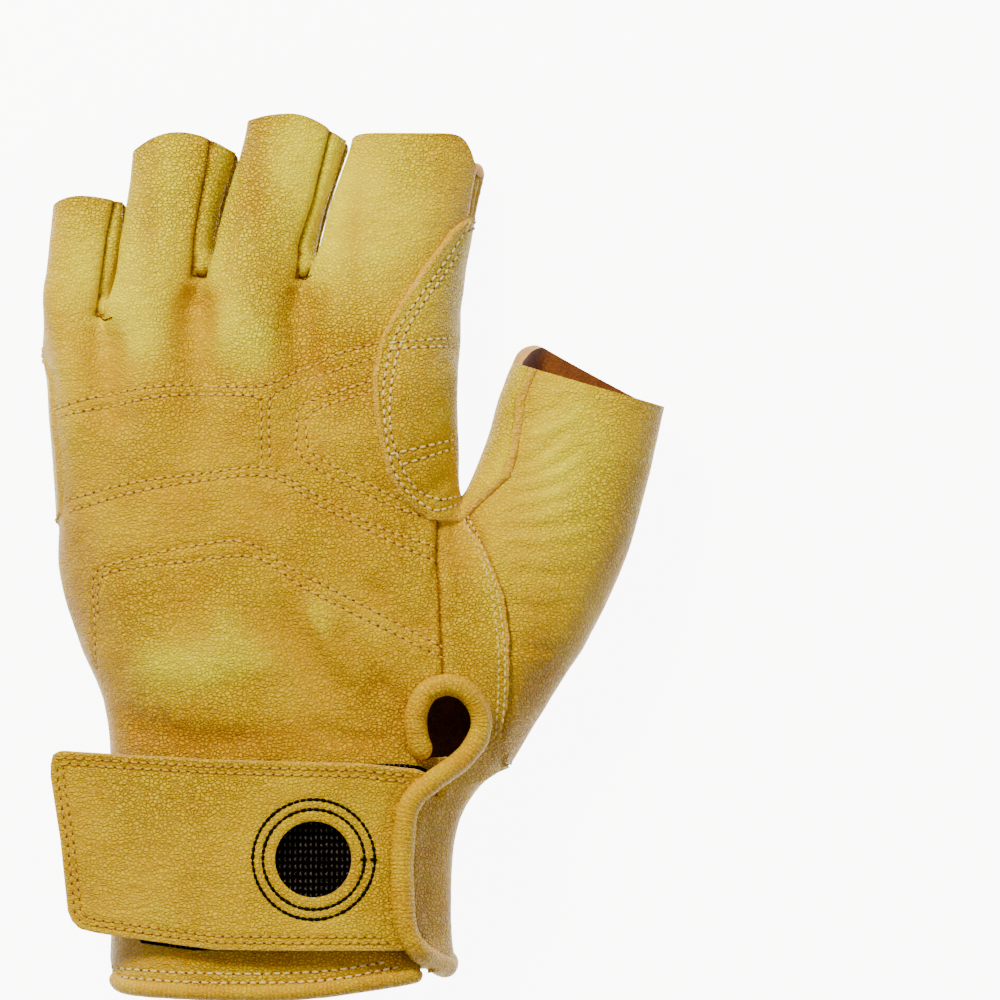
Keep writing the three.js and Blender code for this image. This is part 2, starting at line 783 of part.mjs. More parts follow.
// A closed wall between two distances above the surface, its open edges drawn in by half a gap
function wall(mesh, low, high, lift = () => 0) {
  const { points, normals, triangles } = unpinched(mesh);
  const edges = openEdges({ triangles });
  const inward = new Map();
  const add = (v, d) => inward.set(v, (inward.get(v) ?? new THREE.Vector3()).add(d));
  for (const { a, b, triangle } of edges) {
    const [p, q, r] = triangle.map((v) => new THREE.Vector3(...points[v]));
    const face = q.clone().sub(p).cross(r.clone().sub(p)).normalize();
    const along = new THREE.Vector3(...points[b]).sub(new THREE.Vector3(...points[a])).normalize();
    const draw = face.cross(along);
    add(a, draw);
    add(b, draw);
  }
  const moved = points.map((p, v) => {
    const d = inward.get(v);
    if (!d) {
      return p;
    }
    d.normalize().multiplyScalar(GAP / 2);
    return [p[0] + d.x, p[1] + d.y, p[2] + d.z];
  });
  const used = [...new Set(triangles.flat())];
  const place = new Map(used.map((v, i) => [v, i]));
  const count = used.length;
  const position = new Float32Array(count * 6);
  used.forEach((v, i) => {
    const up = lift(...points[v]);
    for (let m = 0; m < 3; m += 1) {
      position[i * 3 + m] = moved[v][m] + normals[v][m] * (high + up);
      position[(count + i) * 3 + m] = moved[v][m] + normals[v][m] * (low + up);
    }
  });
  const index = [];
  for (const t of triangles) {
    const [a, b, c] = t.map((v) => place.get(v));
    index.push(a, b, c, count + c, count + b, count + a);
  }
  for (const edge of edges) {
    const a = place.get(edge.a);
    const b = place.get(edge.b);
    index.push(b, a, count + a, b, count + a, count + b);
  }
  return solid(position, index);
}

// Points and triangles as a geometry
function solid(position, index) {
  const geometry = new THREE.BufferGeometry();
  geometry.setAttribute("position", new THREE.BufferAttribute(new Float32Array(position), 3));
  geometry.setIndex(index);
  geometry.computeVertexNormals();
  return geometry;
}

// A round roll along a path of points, with flat ends
function roll(path, radius) {
  const curve = new THREE.CatmullRomCurve3(path.map((p) => new THREE.Vector3(...p)));
  const steps = Math.round(path.length * ROLL_STEPS);
  const made = new THREE.TubeGeometry(curve, steps, radius, TUBE_SIDES, false);
  const source = made.attributes.position.array;
  const stride = (TUBE_SIDES + 1) * 3;
  const position = [];
  for (let i = 0; i <= steps; i += 1) {
    for (let s = 0; s < TUBE_SIDES; s += 1) {
      position.push(...source.slice(i * stride + s * 3, i * stride + s * 3 + 3));
    }
  }
  const index = [];
  for (let i = 0; i < steps; i += 1) {
    for (let s = 0; s < TUBE_SIDES; s += 1) {
      const a = i * TUBE_SIDES + s;
      const b = i * TUBE_SIDES + ((s + 1) % TUBE_SIDES);
      index.push(a, a + TUBE_SIDES, b, b, a + TUBE_SIDES, b + TUBE_SIDES);
    }
  }
  const end = steps * TUBE_SIDES;
  for (let s = 1; s + 1 < TUBE_SIDES; s += 1) {
    index.push(0, s, s + 1, end, end + s + 1, end + s);
  }
  const geometry = solid(position, index);
  const volume = signedVolume(geometry);
  if (volume < 0) {
    geometry.setIndex(index.reverse());
    geometry.computeVertexNormals();
  }
  return geometry;
}

// The volume that tells which way a closed mesh faces
function signedVolume(geometry) {
  const p = geometry.attributes.position;
  const index = geometry.index.array;
  const corner = (i) => new THREE.Vector3().fromBufferAttribute(p, index[i]);
  let sum = 0;
  for (let i = 0; i < index.length; i += 3) {
    sum += corner(i).dot(corner(i + 1).cross(corner(i + 2)));
  }
  return sum / 6;
}

// The height of the hand's top at a place seen from above
function topAt(x, y) {
  let low = Z(0.4);
  let high = Z(1.5);
  for (let step = 0; step < HALVINGS; step += 1) {
    const middle = (low + high) / 2;
    if (form(x, y, middle) < 0) {
      low = middle;
    } else {
      high = middle;
    }
  }
  return low;
}

// Signed distance to a closed outline seen from above, positive inside
function outlineMeasure(outline) {
  const corners = outline.map((c) => [X(c.x), Y(c.y)]);
  return (x, y) => {
    let nearest = Infinity;
    let inside = false;
    corners.forEach(([ax, ay], i) => {
      const [bx, by] = corners[(i + 1) % corners.length];
      const t = ((x - ax) * (bx - ax) + (y - ay) * (by - ay)) / ((bx - ax) ** 2 + (by - ay) ** 2);
      const s = between(t, 0, 1);
      nearest = Math.min(nearest, Math.hypot(x - ax - (bx - ax) * s, y - ay - (by - ay) * s));
      if (ay > y !== by > y && x < ax + ((y - ay) * (bx - ax)) / (by - ay)) {
        inside = !inside;
      }
    });
    return inside ? nearest : -nearest;
  };
}

// The turn about the cuff's middle at a point, from the thumb side over the top
function turnAt(x, y, z) {
  const at = y / GLOVE_LENGTH;
  const left = X(track(HAND, "left", at));
  const right = X(track(HAND, "right", at));
  const top = Z(track(HAND, "top", at));
  const u = (x - (left + right) / 2) / (right - left);
  const w = (z - (FLOOR + top) / 2) / (top - FLOOR);
  const turn = Math.atan2(w, u) / (2 * Math.PI);
  return turn < 0 ? turn + 1 : turn;
}

// A point on the cuff's surface at a turn and a station along the glove
function cuffPoint(turn, y) {
  const at = y / GLOVE_LENGTH;
  const left = X(track(HAND, "left", at));
  const right = X(track(HAND, "right", at));
  const top = Z(track(HAND, "top", at));
  const angle = turn * 2 * Math.PI;
  const u = (Math.cos(angle) * (right - left)) / 2;
  const w = (Math.sin(angle) * (top - FLOOR)) / 2;
  let low = 0.2;
  let high = 2.5;
  for (let step = 0; step < HALVINGS; step += 1) {
    const s = (low + high) / 2;
    if (form((left + right) / 2 + u * s, y, (FLOOR + top) / 2 + w * s) < 0) {
      low = s;
    } else {
      high = s;
    }
  }
  return [(left + right) / 2 + u * low, y, (FLOOR + top) / 2 + w * low];
}

// What the cut edges keep: the finger mouths, the thumb's mouth, the cuff's end and the slit hole
function fingerMouth(x, y, z) {
  const at = y / GLOVE_LENGTH;
  if (at < FINGER_MOUTH.from || x > X(track(LANES, "crotch", at))) {
    return HAND_HEIGHT;
  }
  const across = x + leanAt(y, z);
  const lanes = ["first", "second", "third"].map((name) => X(track(LANES, name, at)));
  const finger = FINGERS[lanes.filter((lane) => across > lane).length];
  const left = X(track(finger.rows, "left", at));
  const right = X(track(finger.rows, "right", at));
  const u = between((2 * across - left - right) / (right - left), -1, 1);
  const { rim } = finger;
  const drop = (u < 0 ? rim.left : rim.right) - rim.middle;
  const edge = rim.middle + drop * Math.abs(u) ** rim.turn;
  const top = Z(track(finger.rows, "top", at));
  const under = between((top * FINGER_MOUTH.level - z) / (top * FINGER_MOUTH.fade), 0, 1);
  return Y(edge - FINGER_MOUTH.palm_shorter * under) - y;
}
function thumbMouth(x, y, z) {
  const at = y / GLOVE_LENGTH;
  if (x < X(track(LANES, "crotch", at))) {
    return HAND_HEIGHT;
  }
  const left = X(track(THUMB, "left", at));
  const right = X(track(THUMB, "right", at));
  const u = (2 * x - left - right) / (right - left);
  const under = between((Z(THUMB_MOUTH.level) - z) / Z(THUMB_MOUTH.fade), 0, 1);
  const more = (THUMB_MOUTH.palm_longer - THUMB_MOUTH.palm_slant * u) * under;
  const lean = Math.atan(THUMB_MOUTH.lean);
  return Y(THUMB_MOUTH.rim + more) - x * Math.sin(lean) - y * Math.cos(lean);
}
function cuffEnd(x, y, z) {
  return y - Y(track(CUFF_HEM, "y", turnAt(x, y, z)));
}
function offHole(x, y, z) {
  if (z < Z(UPPER)) {
    return HAND_HEIGHT;
  }
  const down = between((y - Y(HOLE.y)) / (Y(HOLE.tip_y) - Y(HOLE.y)), 0, 1);
  const middle = X(HOLE.x + (HOLE.tip_x - HOLE.x) * down);
  const reach = Math.hypot(x - middle, y - Y(HOLE.y + (HOLE.tip_y - HOLE.y) * down));
  return reach - X(HOLE.radius) * (1 - (1 - HOLE.tip) * down);
}

// Distance to a roll's middle line, less its radius
function rollMeasure(path, radius) {
  const curve = new THREE.CatmullRomCurve3(path.map((p) => new THREE.Vector3(...p)));
  const line3 = curve.getPoints(path.length * 3);
  const segment = new THREE.Line3();
  const nearest = new THREE.Vector3();
  return (x, y, z) => {
    const point = new THREE.Vector3(x, y, z);
    let best = Infinity;
    for (let i = 0; i + 1 < line3.length; i += 1) {
      segment.set(line3[i], line3[i + 1]).closestPointToPoint(point, true, nearest);
      best = Math.min(best, nearest.distanceTo(point));
    }
    return best - radius;
  };
}

// Which piece of leather a place belongs to
function fourchetteMeasure({ lane, rows, end }) {
  return (x, y, z) => {
    const at = y / GLOVE_LENGTH;
    const middle = X(track(LANES, lane, at));
    const above = between((z - Z(FOURCHETTE_TURN)) / Z(FOURCHETTE_TURN), 0, 1);
    const low = x + leanAt(y, z);
    const under = middle - FOURCHETTE_EDGE;
    const from = under + (X(line(rows, "seam", at)) - under) * above;
    return Math.min(low + (x - low) * above - from, middle - low, y - Y(end));
  };
}
function thumbMeasure(x, y, z) {
  const at = y / GLOVE_LENGTH;
  const over = X(line(THUMB_ROOT, "over", at));
  const under = X(line(THUMB_ROOT, "under", at));
  const share = between((z - Z(THUMB_TURN.low)) / Z(THUMB_TURN.height), 0, 1);
  return x - under - (over - under) * share;
}
function thumbBackMeasure(x, y, z) {
  const at = y / GLOVE_LENGTH;
  return Math.max(z - Z(THUMB_SEAM), x - X(line(THUMB_SPLIT, "x", at)));
}
function backMeasure(x, y, z) {
  const at = y / GLOVE_LENGTH;
  const edge = at < FLAP_FROM ? bindingX(y) : X(line(BACK_EDGE, "x", at));
  return Math.min(z - Z(at > FINGER_SEAM.from ? FINGER_SEAM.height : SIDE_SEAM), edge - x);
}
function overlayMeasure(x, y, z) {
  const at = y / GLOVE_LENGTH;
  const wrap = Z(track(WRAP_HEIGHT, "z", at));
  const palm = Math.min(wrap - z, y - Y(line(LOWER_EDGE, "y", x / KNUCKLE_WIDTH)));
  const crotch = X(track(LANES, "crotch", at));
  const index = x < crotch ? x - X(line(RAW_EDGE, "x", at)) : Infinity;
  const strip = X(line(THUMB_STRIP, "x", at)) - x;
  const upper = Math.min(index, strip, y - Y(UPPER_LAYER_END));
  const fronts = FOURCHETTES.map((f) => -fourchetteMeasure(f)(x, y, z));
  return Math.min(Math.max(palm, upper), ...fronts);
}
function padMeasure(x, y, z) {
  const across = Math.min(x - X(PAD.left), bindingX(y) - BINDING_RADIUS - x);
  return Math.min(across, y - Y(PAD.low), Y(PAD.high) - y, z - Z(UPPER));
}

// The binding's middle line down the flap, seen from above
function bindingX(y) {
  const down = BINDING.slice(BINDING_FLAP).map((row) => ({ at: -row.y, x: row.x }));
  return X(line(down, "x", -y / GLOVE_LENGTH));
}

// Builds the base surface and trims it
const bindingLine = bindingPath();
const hemLine = hemPath(HEM_SPAN.top_from, HEM_SPAN.top_to, HEM_RADIUS);
const fromBinding = rollMeasure(bindingLine, BINDING_RADIUS);
const fromHem = rollMeasure(hemLine, HEM_RADIUS);
const offRolls = (x, y, z) => Math.min(fromBinding(x, y, z), fromHem(x, y, z)) - GAP * 2.5;
let base = surface();
for (const keep of [fingerMouth, thumbMouth, cuffEnd]) {
  base = split(base, keep).inside;
}
const nearRolls = (x, y, z) => {
  const corner = Math.hypot(x - X(FLAP_CORNER.x), y - Y(FLAP_CORNER.y)) - X(FLAP_CORNER.reach);
  return Math.min(offHole(x, y, z) - X(HOLE_MARGIN), z > Z(UPPER) ? corner : HAND_HEIGHT);
};
base = refined(refined(base, nearRolls), nearRolls);
const inLoop = outlineMeasure(BINDING.slice(0, BINDING_LOOP));
base = split(base, (x, y, z) => {
  return z > Z(UPPER) ? Math.min(offRolls(x, y, z), -inLoop(x, y)) : offRolls(x, y, z);
}).inside;

// Cuts the first layer into its panels
const parts = [];
const thumb = split(base, thumbMeasure);
const thumbHalves = split(thumb.inside, thumbBackMeasure);
let rest = thumb.outside;
for (const fourchette of FOURCHETTES) {
  const cutOut = split(rest, fourchetteMeasure(fourchette));
  parts.push([fourchette.name, wall(cutOut.inside, -LEATHER, 0), GOLD]);
  rest = cutOut.outside;
}
const halves = split(rest, backMeasure);

// The flap lifts towards its binding so that it laps over the strap's end
const flapLift = (x, y, z) => {
  const down = between((Y(FLAP.from) - y) / Y(FLAP.fade), 0, 1);
  const near = between(1 - (x - bindingX(y)) / X(FLAP.reach), 0, 1);
  return z > Z(UPPER) ? down * near * near * FLAP.lift : 0;
};
const flap = split(halves.outside, (x, y, z) => {
  const beside = x - bindingX(y) - BINDING_RADIUS;
  return y < Y(FLAP.beside) && z > Z(UPPER) ? beside : HAND_HEIGHT;
});

// The strap: a level band over the cuff, bent down a little past the cuff's side
function strap() {
  const outline = outlineMeasure(STRAP_OUTLINE);
  const fromFlap = rollMeasure(BINDING.slice(BINDING_FLAP).map((row) => [X(row.x), Y(row.y), 0]), 0);
  const measure = (x, y) => {
    const far = fromFlap(x, y, 0);
    const clear = (x < bindingX(y) ? far : -far) - BINDING_RADIUS - GAP * 4;
    return Math.min(outline(x, y), clear);
  };
  const [across, along] = STRAP_CELLS;
  const points = [];
  const triangles = [];
  const height = (x, y) => {
    const bend = X(STRAP_BEND.from);
    const over = topAt(Math.max(x, bend), y) + STRAP_LIFT;
    return over - Math.max(bend - x, 0) * STRAP_BEND.slope;
  };
  for (let j = 0; j <= along; j += 1) {
    for (let i = 0; i <= across; i += 1) {
      const x = X(STRAP_FIELD.left + (STRAP_FIELD.width * i) / across);
      const y = Y(STRAP_FIELD.low + (STRAP_FIELD.height * j) / along);
      points.push([x, y, height(x, y)]);
      if (i < across && j < along) {
        const a = j * (across + 1) + i;
        const b = a + across + 1;
        triangles.push([a, a + 1, b], [a + 1, b + 1, b]);
      }
    }
  }
  const normals = points.map(([x, y]) => {
    const slope = (height(x + 1, y) - height(x - 1, y)) / 2;
    const size = Math.hypot(1, slope);
    return [-slope / size, 0, 1 / size];
  });
  const hole = (x, y) => Math.hypot(x - X(STRAP_HOLE.x), y - Y(STRAP_HOLE.y)) - HOLE_RADIUS;
  const nearHole = (x, y) => hole(x, y) - HOLE_RADIUS / 3;
  const band = refined({ points, normals, triangles }, nearHole);
  return wall(split(split(band, measure).inside, hole).inside, 0, STRAP);
}

// The binding: round the hole, down the flap, then along the palm-side hem
function bindingPath() {
  const path = BINDING.map((row) => {
    const x = X(row.x);
    const y = Y(row.y);
    return [x, y, topAt(x, y) + row.rise * BINDING_RADIUS];
  });
  path.push(...hemPath(HEM_SPAN.palm_from + HEM_SPAN.corner, HEM_SPAN.palm_to, BINDING_RADIUS));
  return path;
}
function hemPath(from, to, radius) {
  const path = [];
  const count = Math.ceil(Math.abs(to - from) / HEM_SPAN.step);
  for (let i = 0; i <= count; i += 1) {
    const turn = from + ((to - from) * i) / count;
    const y = Y(track(CUFF_HEM, "y", turn % 1));
    const edge = cuffPoint(turn % 1, y);
    const [x, , z] = edge;
    const inset = outward(edge)[0] * radius * HEM_SPAN.inset;
    const height = z > Z(UPPER) ? z - LEATHER / 2 : z + LEATHER / 2;
    path.push([x - inset, y, Math.max(height, radius + GAP)]);
  }
  return path;
}

parts.push(
  ["back_panel", wall(halves.inside, -LEATHER, 0), GOLD],
  ["palm_panel", wall(flap.inside, -LEATHER, 0, flapLift), GOLD],
  ["thumb_back", wall(thumbHalves.inside, -LEATHER, 0), GOLD],
  ["thumb_front", wall(thumbHalves.outside, -LEATHER, 0), GOLD],
  ["palm_overlay", wall(split(base, overlayMeasure).inside, GAP, GAP + OVERLAY), GOLD],
  ["loop_pad", wall(split(base, padMeasure).inside, GAP, GAP + FABRIC), BLACK],
  ["wrist_strap", strap(), GOLD],
  ["cuff_binding", roll(bindingLine, BINDING_RADIUS), GOLD],
  ["back_hem", roll(hemLine, HEM_RADIUS), GOLD],
);

// Sets the glove on the surface, with its middle over the origin
const glove = new THREE.Group();
for (const [name, geometry, finish] of parts) {
  const mesh = new THREE.Mesh(geometry, new THREE.MeshStandardMaterial(finish));
  mesh.name = name;
  glove.add(mesh);
}
const bounds = new THREE.Box3().setFromObject(glove);
const middle = bounds.getCenter(new THREE.Vector3());
glove.position.set(-middle.x, -middle.y, -bounds.min.z);

export default glove;
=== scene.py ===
"""Dresses the climbing glove: leather shell, second layer, cuff, strap and stitching."""

import logging
import math
from dataclasses import dataclass, field
from enum import Enum
from typing import Callable

import bpy
import numpy as np
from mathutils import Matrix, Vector
from mathutils.kdtree import KDTree


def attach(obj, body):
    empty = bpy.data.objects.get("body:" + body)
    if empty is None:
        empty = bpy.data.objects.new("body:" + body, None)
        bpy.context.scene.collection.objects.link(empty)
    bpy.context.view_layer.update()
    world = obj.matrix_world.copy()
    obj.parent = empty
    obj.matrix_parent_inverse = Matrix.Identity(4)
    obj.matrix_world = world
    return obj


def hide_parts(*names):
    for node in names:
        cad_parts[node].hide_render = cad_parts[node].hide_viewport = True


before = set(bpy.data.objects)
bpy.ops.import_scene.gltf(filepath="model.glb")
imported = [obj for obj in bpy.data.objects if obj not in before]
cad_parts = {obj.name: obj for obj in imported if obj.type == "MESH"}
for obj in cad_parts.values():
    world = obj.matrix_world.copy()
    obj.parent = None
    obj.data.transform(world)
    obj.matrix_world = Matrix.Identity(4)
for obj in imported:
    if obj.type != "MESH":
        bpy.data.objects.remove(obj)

log = logging.getLogger("glove")

# Main sizes in millimetres, as in the part's source: +Y to the fingertips, +X to the thumb
GLOVE_LENGTH = 221.0
KNUCKLE_WIDTH = 104.5
HAND_HEIGHT = 33.0
LEATHER = 1.3
OVERLAY = 1.2
FABRIC = 1.2
STRAP = 1.9
FLOOR = 1.5
GAP = 0.3
BINDING_RADIUS = 2.9
HEM_RADIUS = 2.1
FOURCHETTE_EDGE = 3.4
HOLE_RADIUS = 9.5

# The middle of the solids' box in the hand's own millimetres
MIDDLE_X = -0.012
MIDDLE_Y = -0.194

# The photograph's scale and the pixel at the hand's origin
PHOTO_SCALE = 0.25
PHOTO_X = 352.5
PHOTO_Y = 556.5

# How finely the leather is meshed, and the layers' small steps
CELL = 1.0
STEP = 0.8
LIFT = 0.04
MILLI = 0.001

# How many straight parts a curve has between two points, and how often a search halves its stretch
CURVE_PARTS = 24
HALVINGS = 22

# Where such a search looks, in shares of the height over the palm and of the cuff's half widths
LEVEL_SPAN = (0.4, 1.5)
TURN_SPAN = (0.2, 2.5)

Points = np.ndarray
Measure = Callable[[Points], np.ndarray]
Sizes = dict[str, float]
Colour = tuple[int, int, int]


class Table:
    """Rows of shares with named columns, read along the first one."""

    def __init__(self, columns: str, *rows: tuple[float, ...]) -> None:
        """Keeps the columns by name.

        Args:
            columns: the columns' names, the first of which the rows run along.
            rows: one tuple of numbers for each row.
        """
        self.names = columns.split()
        self.data = dict(zip(self.names, np.array(rows, dtype=float).T))

    def straight(self, column: str, at: Points) -> Points:
        """Reads a column with straight stretches between the rows."""
        return np.interp(at, self.data[self.names[0]], self.data[column])

    def smooth(self, column: str, at: Points) -> Points:
        """Reads a column on a smooth curve through the rows.

        Args:
            column: the column's name.
            at: the places along the table.

        Returns:
            The values there.
        """
        keys = self.data[self.names[0]]
        values = self.data[column]
        at = np.clip(np.asarray(at, dtype=float), keys[0], keys[-1])
        slopes = np.empty_like(values)
        slopes[1:-1] = (values[2:] - values[:-2]) / (keys[2:] - keys[:-2])
        slopes[0] = (values[1] - values[0]) / (keys[1] - keys[0])
        slopes[-1] = (values[-1] - values[-2]) / (keys[-1] - keys[-2])
        i = np.clip(np.searchsorted(keys, at, side="right") - 1, 0, len(keys) - 2)
        span = keys[i + 1] - keys[i]
        t = (at - keys[i]) / span
        ease = t * t * (3 - 2 * t)
        start = t * (1 - t) * (1 - t) * span * slopes[i]
        end = t * t * (t - 1) * span * slopes[i + 1]
        return values[i] * (1 - ease) + values[i + 1] * ease + start + end


@dataclass(frozen=True)
class Finger:
    """A finger tube: its rim's height at three places, how it turns down, and its outline."""

    name: str
    rim: tuple[float, float, float]
    turn: float
    rows: Table


@dataclass(frozen=True)
class Fourchette:
    """A strip between two fingers: its lane, the end of its U and its upper seam."""

    name: str
    lane: str
    end: float
    rows: Table


HAND = Table(
    "at left right top",
    (-0.52, -0.59, 0.25, 1.0),
    (-0.4, -0.575, 0.235, 0.95),
    (-0.3, -0.578, 0.255, 0.92),
    (-0.22, -0.575, 0.36, 0.94),
    (-0.16, -0.594, 0.41, 0.96),
    (-0.1, -0.647, 0.4, 0.99),
    (-0.02, -0.696, 0.31, 1.0),
    (0.04, -0.7, 0.25, 1.0),
    (0.13, -0.712, 0.235, 0.96),
    (0.205, -0.72, 0.222, 0.85),
    (0.27, -0.722, 0.24, 0.66),
    (0.34, -0.71, 0.25, 0.5),
)
WEB = Table(
    "at reach",
    (-0.75, 0.27),
    (-0.585, 0.272),
    (-0.36, 0.316),
    (-0.1, 0.315),
    (0.1, 0.3),
    (0.27, 0.26),
)
THUMB = Table(
    "at left right top",
    (-0.24, 0.1, 0.372, 0.55),
    (-0.18, 0.1, 0.449, 0.7),
    (-0.14, 0.12, 0.5, 0.78),
    (-0.09, 0.16, 0.568, 0.84),
    (0.0, 0.22, 0.654, 0.86),
    (0.065, 0.278, 0.692, 0.84),
    (0.13, 0.335, 0.728, 0.81),
    (0.18, 0.365, 0.75, 0.79),
    (0.25, 0.42, 0.78, 0.78),
)
LANES = Table(
    "at out first second third crotch far",
    (-0.52, -0.68, -0.46, -0.31, -0.1, 0.1, 0.34),
    (-0.33, -0.66, -0.46, -0.3, -0.09, 0.14, 0.36),
    (-0.22, -0.66, -0.46, -0.3, -0.08, 0.2, 0.47),
    (-0.13, -0.71, -0.5, -0.32, -0.1, 0.24, 0.6),
    (0.0, -0.77, -0.54, -0.335, -0.115, 0.25, 0.74),
    (0.06, -0.785, -0.555, -0.345, -0.118, 0.262, 0.77),
    (0.14, -0.8, -0.575, -0.348, -0.12, 0.29, 0.81),
    (0.27, -0.815, -0.577, -0.349, -0.116, 0.345, 0.84),
    (0.32, -0.81, -0.55, -0.3255, -0.087, 0.36, 0.84),
    (0.39, -0.79, -0.536, -0.303, -0.0535, 0.37, 0.84),
    (0.47, -0.76, -0.523, -0.26, -0.003, 0.38, 0.84),
    (0.53, -0.75, -0.51, -0.245, 0.015, 0.4, 0.84),
)
BACK_EDGE = Table(
    "at x",
    (-0.26, 0.2),
    (-0.22, 0.235),
    (-0.16, 0.22),
    (-0.1, 0.214),
    (0.0, 0.204),
    (0.06, 0.208),
    (0.11, 0.213),
    (0.15, 0.3),
    (0.2, 0.5),
)
THUMB_ROOT = Table(
    "at over under",
    (-0.26, 0.7, 0.7),
    (-0.235, 0.378, 0.33),
    (-0.2, 0.367, 0.23),
    (-0.145, 0.375, 0.15),
    (-0.09, 0.376, 0.12),
    (-0.045, 0.364, 0.12),
    (0.0, 0.326, 0.16),
    (0.035, 0.285, 0.21),
    (0.06, 0.262, 0.255),
    (0.14, 0.29, 0.29),
    (0.27, 0.345, 0.345),
)
THUMB_SPLIT = Table(
    "at x",
    (-0.26, 0.32),
    (-0.1, 0.36),
    (0.06, 0.5),
    (0.25, 0.62),
)
RAW_EDGE = Table(
    "at x",
    (0.0362, 0.5),
    (0.0375, 0.23),
    (0.041, 0.18),
    (0.051, 0.15),
    (0.068, 0.113),
    (0.093, 0.083),
    (0.127, 0.066),
    (0.165, 0.053),
    (0.204, 0.047),
    (0.247, 0.068),
    (0.273, 0.097),
    (0.323, 0.163),
    (0.368, 0.233),
    (0.392, 0.293),
    (0.43, 0.3),
)
THUMB_STRIP = Table(
    "at x",
    (0.03, 0.24),
    (0.06, 0.31),
    (0.09, 0.378),
    (0.115, 0.396),
    (0.15, 0.407),
    (0.177, 0.413),
    (0.21, 0.441),
    (0.25, 0.47),
)
LOWER_EDGE = Table(
    "at y",
    (-0.8, -0.04),
    (-0.4, -0.063),
    (0.0, -0.055),
    (0.2, -0.02),
    (0.34, 0.045),
    (0.46, 0.12),
    (0.54, 0.2),
    (0.6, 0.3),
)
WRAP_HEIGHT = Table(
    "at z",
    (-0.1, 0.3),
    (0.03, 0.34),
    (0.05, 0.62),
    (0.2, 0.62),
    (0.25, 0.34),
    (0.3, 0.25),
)
CUFF_HEM = Table(
    "at y",
    (0.0, -0.462),
    (0.07, -0.466),
    (0.15, -0.478),
    (0.25, -0.492),
    (0.4, -0.487),
    (0.45, -0.48),
    (0.5, -0.458),
    (0.56, -0.436),
    (0.63, -0.432),
    (0.75, -0.462),
    (0.9, -0.455),
    (1.0, -0.462),
)
BINDING = Table(
    "x y rise",
    (0.178, -0.2268, 0.41),
    (0.157, -0.2053, 0.41),
    (0.154, -0.177, 0.31),
    (0.176, -0.1544, 0.31),
    (0.224, -0.1442, 0.31),
    (0.274, -0.1521, 0.31),
    (0.305, -0.1748, 0.35),
    (0.303, -0.2019, 0.7),
    (0.264, -0.2279, 1.4),
    (0.197, -0.2517, 1.9),
    (0.14, -0.2777, 2),
    (0.123, -0.3241, 2),
    (0.121, -0.3773, 2),
    (0.133, -0.4225, 1.9),
    (0.166, -0.4474, 1.6),
)
STRAP_OUTLINE = Table(
    "x y",
    (-0.717, -0.2347),
    (-0.712, -0.2234),
    (-0.695, -0.2189),
    (-0.578, -0.2223),
    (-0.324, -0.2285),
    (0.02, -0.2325),
    (0.154, -0.2393),
    (0.2, -0.2483),
    (0.2, -0.444),
    (-0.099, -0.444),
    (-0.324, -0.4429),
    (-0.472, -0.4338),
    (-0.607, -0.4248),
    (-0.647, -0.4202),
    (-0.666, -0.4112),
    (-0.676, -0.3999),
    (-0.693, -0.3207),
    (-0.717, -0.2483),
)
FINGERS = (
    Finger(
        "little",
        (0.396, 0.408, 0.401),
        2,
        Table(
            "at left right top",
            (0.05, -0.69, -0.57, 0.66),
            (0.14, -0.708, -0.57, 0.8),
            (0.27, -0.724, -0.588, 0.72),
            (0.32, -0.724, -0.56, 0.65),
            (0.41, -0.702, -0.543, 0.57),
            (0.47, -0.69, -0.54, 0.55),
        ),
    ),
    Finger(
        "ring",
        (0.453, 0.48, 0.457),
        2,
        Table(
            "at left right top",
            (0.05, -0.58, -0.34, 0.75),
            (0.14, -0.58, -0.345, 0.96),
            (0.27, -0.565, -0.358, 0.86),
            (0.32, -0.539, -0.335, 0.77),
            (0.39, -0.528, -0.311, 0.66),
            (0.47, -0.517, -0.268, 0.58),
            (0.51, -0.51, -0.255, 0.57),
        ),
    ),
    Finger(
        "middle",
        (0.491, 0.501, 0.471),
        2,
        Table(
            "at left right top",
            (0.05, -0.35, -0.12, 0.77),
            (0.14, -0.352, -0.12, 0.99),
            (0.27, -0.34, -0.116, 0.89),
            (0.32, -0.316, -0.097, 0.79),
            (0.39, -0.295, -0.062, 0.69),
            (0.47, -0.252, -0.012, 0.6),
            (0.53, -0.236, 0.008, 0.58),
        ),
    ),
    Finger(
        "index",
        (0.468, 0.479, 0.436),
        9,
        Table(
            "at left right top",
            (0.05, -0.13, 0.215, 0.75),
            (0.14, -0.124, 0.222, 0.96),
            (0.25, -0.12, 0.243, 0.86),
            (0.32, -0.077, 0.262, 0.77),
            (0.39, -0.045, 0.283, 0.67),
            (0.46, -0.001, 0.31, 0.57),
            (0.51, 0.022, 0.324, 0.55),
        ),
    ),
)
FOURCHETTES = (
    Fourchette(
        "fourchette_little_ring",
        "first",
        0.272,
        Table(
            "at seam",
            (0.26, -0.615),
            (0.31, -0.6),
            (0.36, -0.588),
            (0.42, -0.558),
        ),
    ),
    Fourchette(
        "fourchette_ring_middle",
        "second",
        0.317,
        Table(
            "at seam",
            (0.3, -0.385),
            (0.36, -0.376),
            (0.44, -0.345),
            (0.48, -0.336),
        ),
    ),
    Fourchette(
        "fourchette_middle_index",
        "third",
        0.315,
        Table(
            "at seam",
            (0.3, -0.137),
            (0.35, -0.125),
            (0.4, -0.092),
            (0.49, -0.046),
        ),
    ),
)


@dataclass(frozen=True)
class ThumbRim:
    """The thumb's mouth: its lean, its height and how the palm's side is longer."""

    lean: float = 0.29
    rim: float = 0.261
    longer: float = 0.0125
    slant: float = 0.0185


